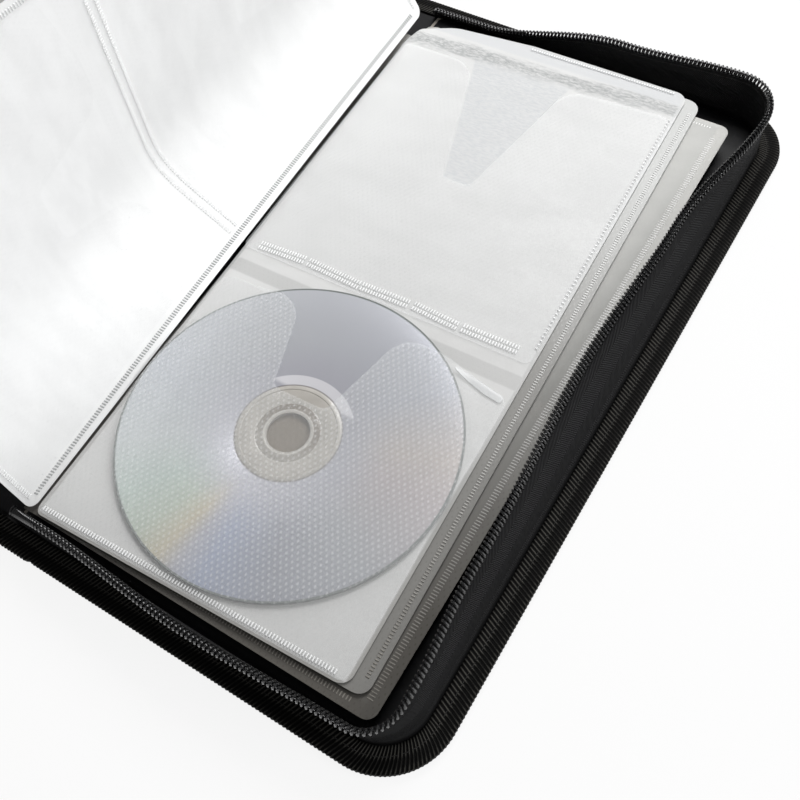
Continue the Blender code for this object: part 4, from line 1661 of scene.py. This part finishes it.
def makeTurningLeaf():
    width = turningLook["width"]
    length = leafSizes["length"]
    outline = sheetOutline(0, width, length, leafSizes["corner"])
    pieces = [
        cutSheet("turningLeaf", outline, turningPlace, leafSizes["thick"], 0.0035, litTurningCloth)
    ]
    faceUp = 0.00045
    for name, outline, direction in (
        ("turningUpperFilm", upperPocket, 1),
        ("turningLowerFilm", lowerPocket, 1),
        ("turningUpperFilmBack", upperPocket, -1),
        ("turningLowerFilmBack", lowerPocket, -1),
    ):
        def place(x, y, lift=0.0, direction=direction):
            return turningPlace(x + 0.0035, y, direction * faceUp + lift)

        pieces.append(cutSheet(name, outline, place, leafSizes["filmThick"], 0.0045, faintFilm))
    rows = [((0.0034, 0.005), (0.0034, length - 0.005), {"length": 0.0017, "lean": 0.25})]

    def rootPlace(x, y, z):
        return turningPlace(x, y, z + 0.00035)

    grey = weldPiece("turningRootWelds", rows, rootPlace, gutterShadeWeld)
    rows = [
        ((0.006, 0.1262), (width - 0.004, 0.1262), {"length": 0.0016}),
        ((0.006, 0.1302), (width - 0.004, 0.1302), {"length": 0.0016}),
        ((0.005, 0.0028), (width - 0.005, 0.0028), {}),
        ((0.005, length - 0.0028), (width - 0.005, length - 0.0028), {}),
        ((width - 0.0028, 0.006), (width - 0.0028, length - 0.006), {}),
    ]

    def facePlace(x, y, z):
        return turningPlace(x, y, z + faceUp + 0.0001)

    bright = weldPiece("turningWelds", rows, facePlace, brightWeld)
    pieces += [grey, bright]
    return pieces


def makeDisc():
    low = leafSizes["filmZ"]
    profile = (  # radius and height, in millimetres
        (7.55, 0.1), (7.7, 0.0), (59.85, 0.0), (60.0, 0.15), (60.0, 1.05), (59.85, 1.2),
        (18.9, 1.2), (18.7, 1.12), (18.4, 1.12), (18.2, 1.2), (17.2, 1.34), (16.9, 1.34),
        (16.7, 1.17), (11.6, 1.17), (11.3, 1.08), (11.0, 1.17), (9.0, 1.17), (8.7, 1.25),
        (8.3, 1.25), (8.1, 1.17), (7.7, 1.17), (7.55, 1.05),
    )
    mesh = bpy.data.meshes.new("disc120")
    x, y = discLook["centre"]
    points = [(x + radius / 1000, y, low + z / 1000) for radius, z in profile]
    edges = [(index, (index + 1) % len(points)) for index in range(len(points))]
    mesh.from_pydata(points, edges, [])
    disc = linked("silverDisc", mesh)
    pick(disc)
    editAll()
    bpy.ops.mesh.spin(steps=144, angle=wave, center=(x, y, low), axis=(0, 0, 1))
    bpy.ops.mesh.select_all(action="SELECT")
    bpy.ops.mesh.remove_doubles(threshold=0.00001)
    bpy.ops.mesh.normals_make_consistent(inside=False)
    bpy.ops.object.mode_set(mode="OBJECT")
    disc.data.materials.append(discShine)
    smoothBy(disc, 25)
    return settle(disc, "back_half", ["disc"])


for prefix, hand, side in halves:
    body = prefix + "_half"
    ribbon, run = makeRibbon(prefix, side)
    replaced = [prefix + "_binding_ribbon"]
    if side == 1:
        replaced += ["spine_ribbon_lower", "spine_ribbon_upper"]
    settleFold(ribbon, side, replaced)
    stitches = makeRibbonStitches(prefix, side)
    settleFold(stitches, side)
    tape, tapeRun = makeTape(prefix, side)
    settle(tape, body, [prefix + "_zip_tape"])
    coil = makeCoil(prefix, side)
    settle(coil, body, [prefix + "_zip_coil"])
    thread = makeCoilThread(prefix, side)
    settle(thread, body)
    settle(makeTapeCaps(prefix, side), body)
    print(prefix, "ribbon, tape and coil ready")
    cover = makeCover(prefix, side)
    replaced = [prefix + "_cover_panel"] + (["spine_panel"] if side == 1 else [])
    settleFold(cover, side, replaced)
    lining = makeLining(prefix, side)
    replaced = [prefix + "_lining"] + (["spine_lining"] if side == 1 else [])
    settleFold(lining, side, replaced)
    leaves = makeLeaves(prefix, hand, side, body)
    outlineArea(upperPocket)
    outlineArea(lowerPocket)
    [leaves["crease"]] if "crease" in leaves else []
    makeStack(hand, side, body)
    print(prefix, "cloth and leaves ready")

makeDisc()
turning = makeTurningLeaf()
for index, piece in enumerate(turning):
    isFilm = "Film" in piece.name or "Welds" in piece.name
    settle(piece, "spine", ["turning_leaf"] if index == 0 else ())
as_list(turning[5:])
filmSizes = ((upperPocket, (0.1225, 0.1365)), (lowerPocket, (0.1225, 0.1137)))
for piece, (outline, flat) in zip(turning[1:5], filmSizes * 2):
    outlineArea(outline)
for piece in turning:
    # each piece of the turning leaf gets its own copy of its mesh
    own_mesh(piece)
print("disc and turning leaf ready")


stripLook = {"columns": 60, "rows": 40, "width": 0.0432, "length": 0.261, "height": 0.0036}


def makeRootStrip():
    # the strip on the spine that the leaves are sewn to, pleated where their roots meet it
    points = []
    faces = []
    uvs = []
    columns = stripLook["columns"]
    rows = stripLook["rows"]
    low = leafSizes["lowY"] + 0.004
    for row in range(rows + 1):
        y = low + stripLook["length"] * row / rows
        for column in range(columns + 1):
            x = -stripLook["width"] / 2 + stripLook["width"] * column / columns
            pleat = 0.00022 * math.sin(wave * column / 6)
            pleat += noise.noise(Vector((x * 60, y * 40, 3.0))) * 0.00012
            points.append((x, y, stripLook["height"] + pleat))
    for row in range(rows):
        for column in range(columns):
            here = row * (columns + 1) + column
            face = (here, here + 1, here + columns + 2, here + columns + 1)
            faces.append(face)
            uvs += [(points[spot][0] * 1000 + 60, points[spot][1] * 1000 + 139) for spot in face]
    strip = newPiece("leafRootStrip", points, faces, rootCloth, uvs)
    return thicken(strip, 0.0003, 0)


strip = makeRootStrip()
settle(strip, "spine", ["leaf_binding_strip"])


def dressCopy(node, name, bevel):
    # a rigid node copied, its loose triangles merged, and its edges rounded
    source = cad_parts[node]
    copy = source.copy()
    copy.data = source.data.copy()
    copy.name = name
    for key in list(copy.keys()):
        del copy[key]
    copy.parent = None
    copy.matrix_world = source.matrix_world.copy()
    bpy.context.scene.collection.objects.link(copy)
    copy.hide_render = False
    copy.hide_viewport = False
    pick(copy)
    editAll()
    bpy.ops.mesh.remove_doubles(threshold=0.000005)
    bpy.ops.mesh.tris_convert_to_quads()
    bpy.ops.mesh.dissolve_limited(angle_limit=math.radians(1))
    bpy.ops.object.mode_set(mode="OBJECT")
    rounding = copy.modifiers.new("rounding", "BEVEL")
    rounding.width = bevel
    rounding.segments = 2
    rounding.limit_method = "ANGLE"
    rounding.angle_limit = math.radians(35)
    applyAll(copy)
    bpy.ops.object.transform_apply(location=True, rotation=True, scale=True)
    dress(copy, blackMetal)
    smoothBy(copy, 35)
    return copy


settle(dressCopy("zip_slider", "zipSlider", 0.00022), "spine", ["zip_slider"])
settle(dressCopy("zip_pull", "zipPull", 0.00022), "pull", ["zip_pull"])
for node in ("back_stiffener_board", "front_stiffener_board"):
    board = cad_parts[node]
    dress(board, greyBoard)
print("slider, pull and boards ready")

bpy.context.view_layer.update()
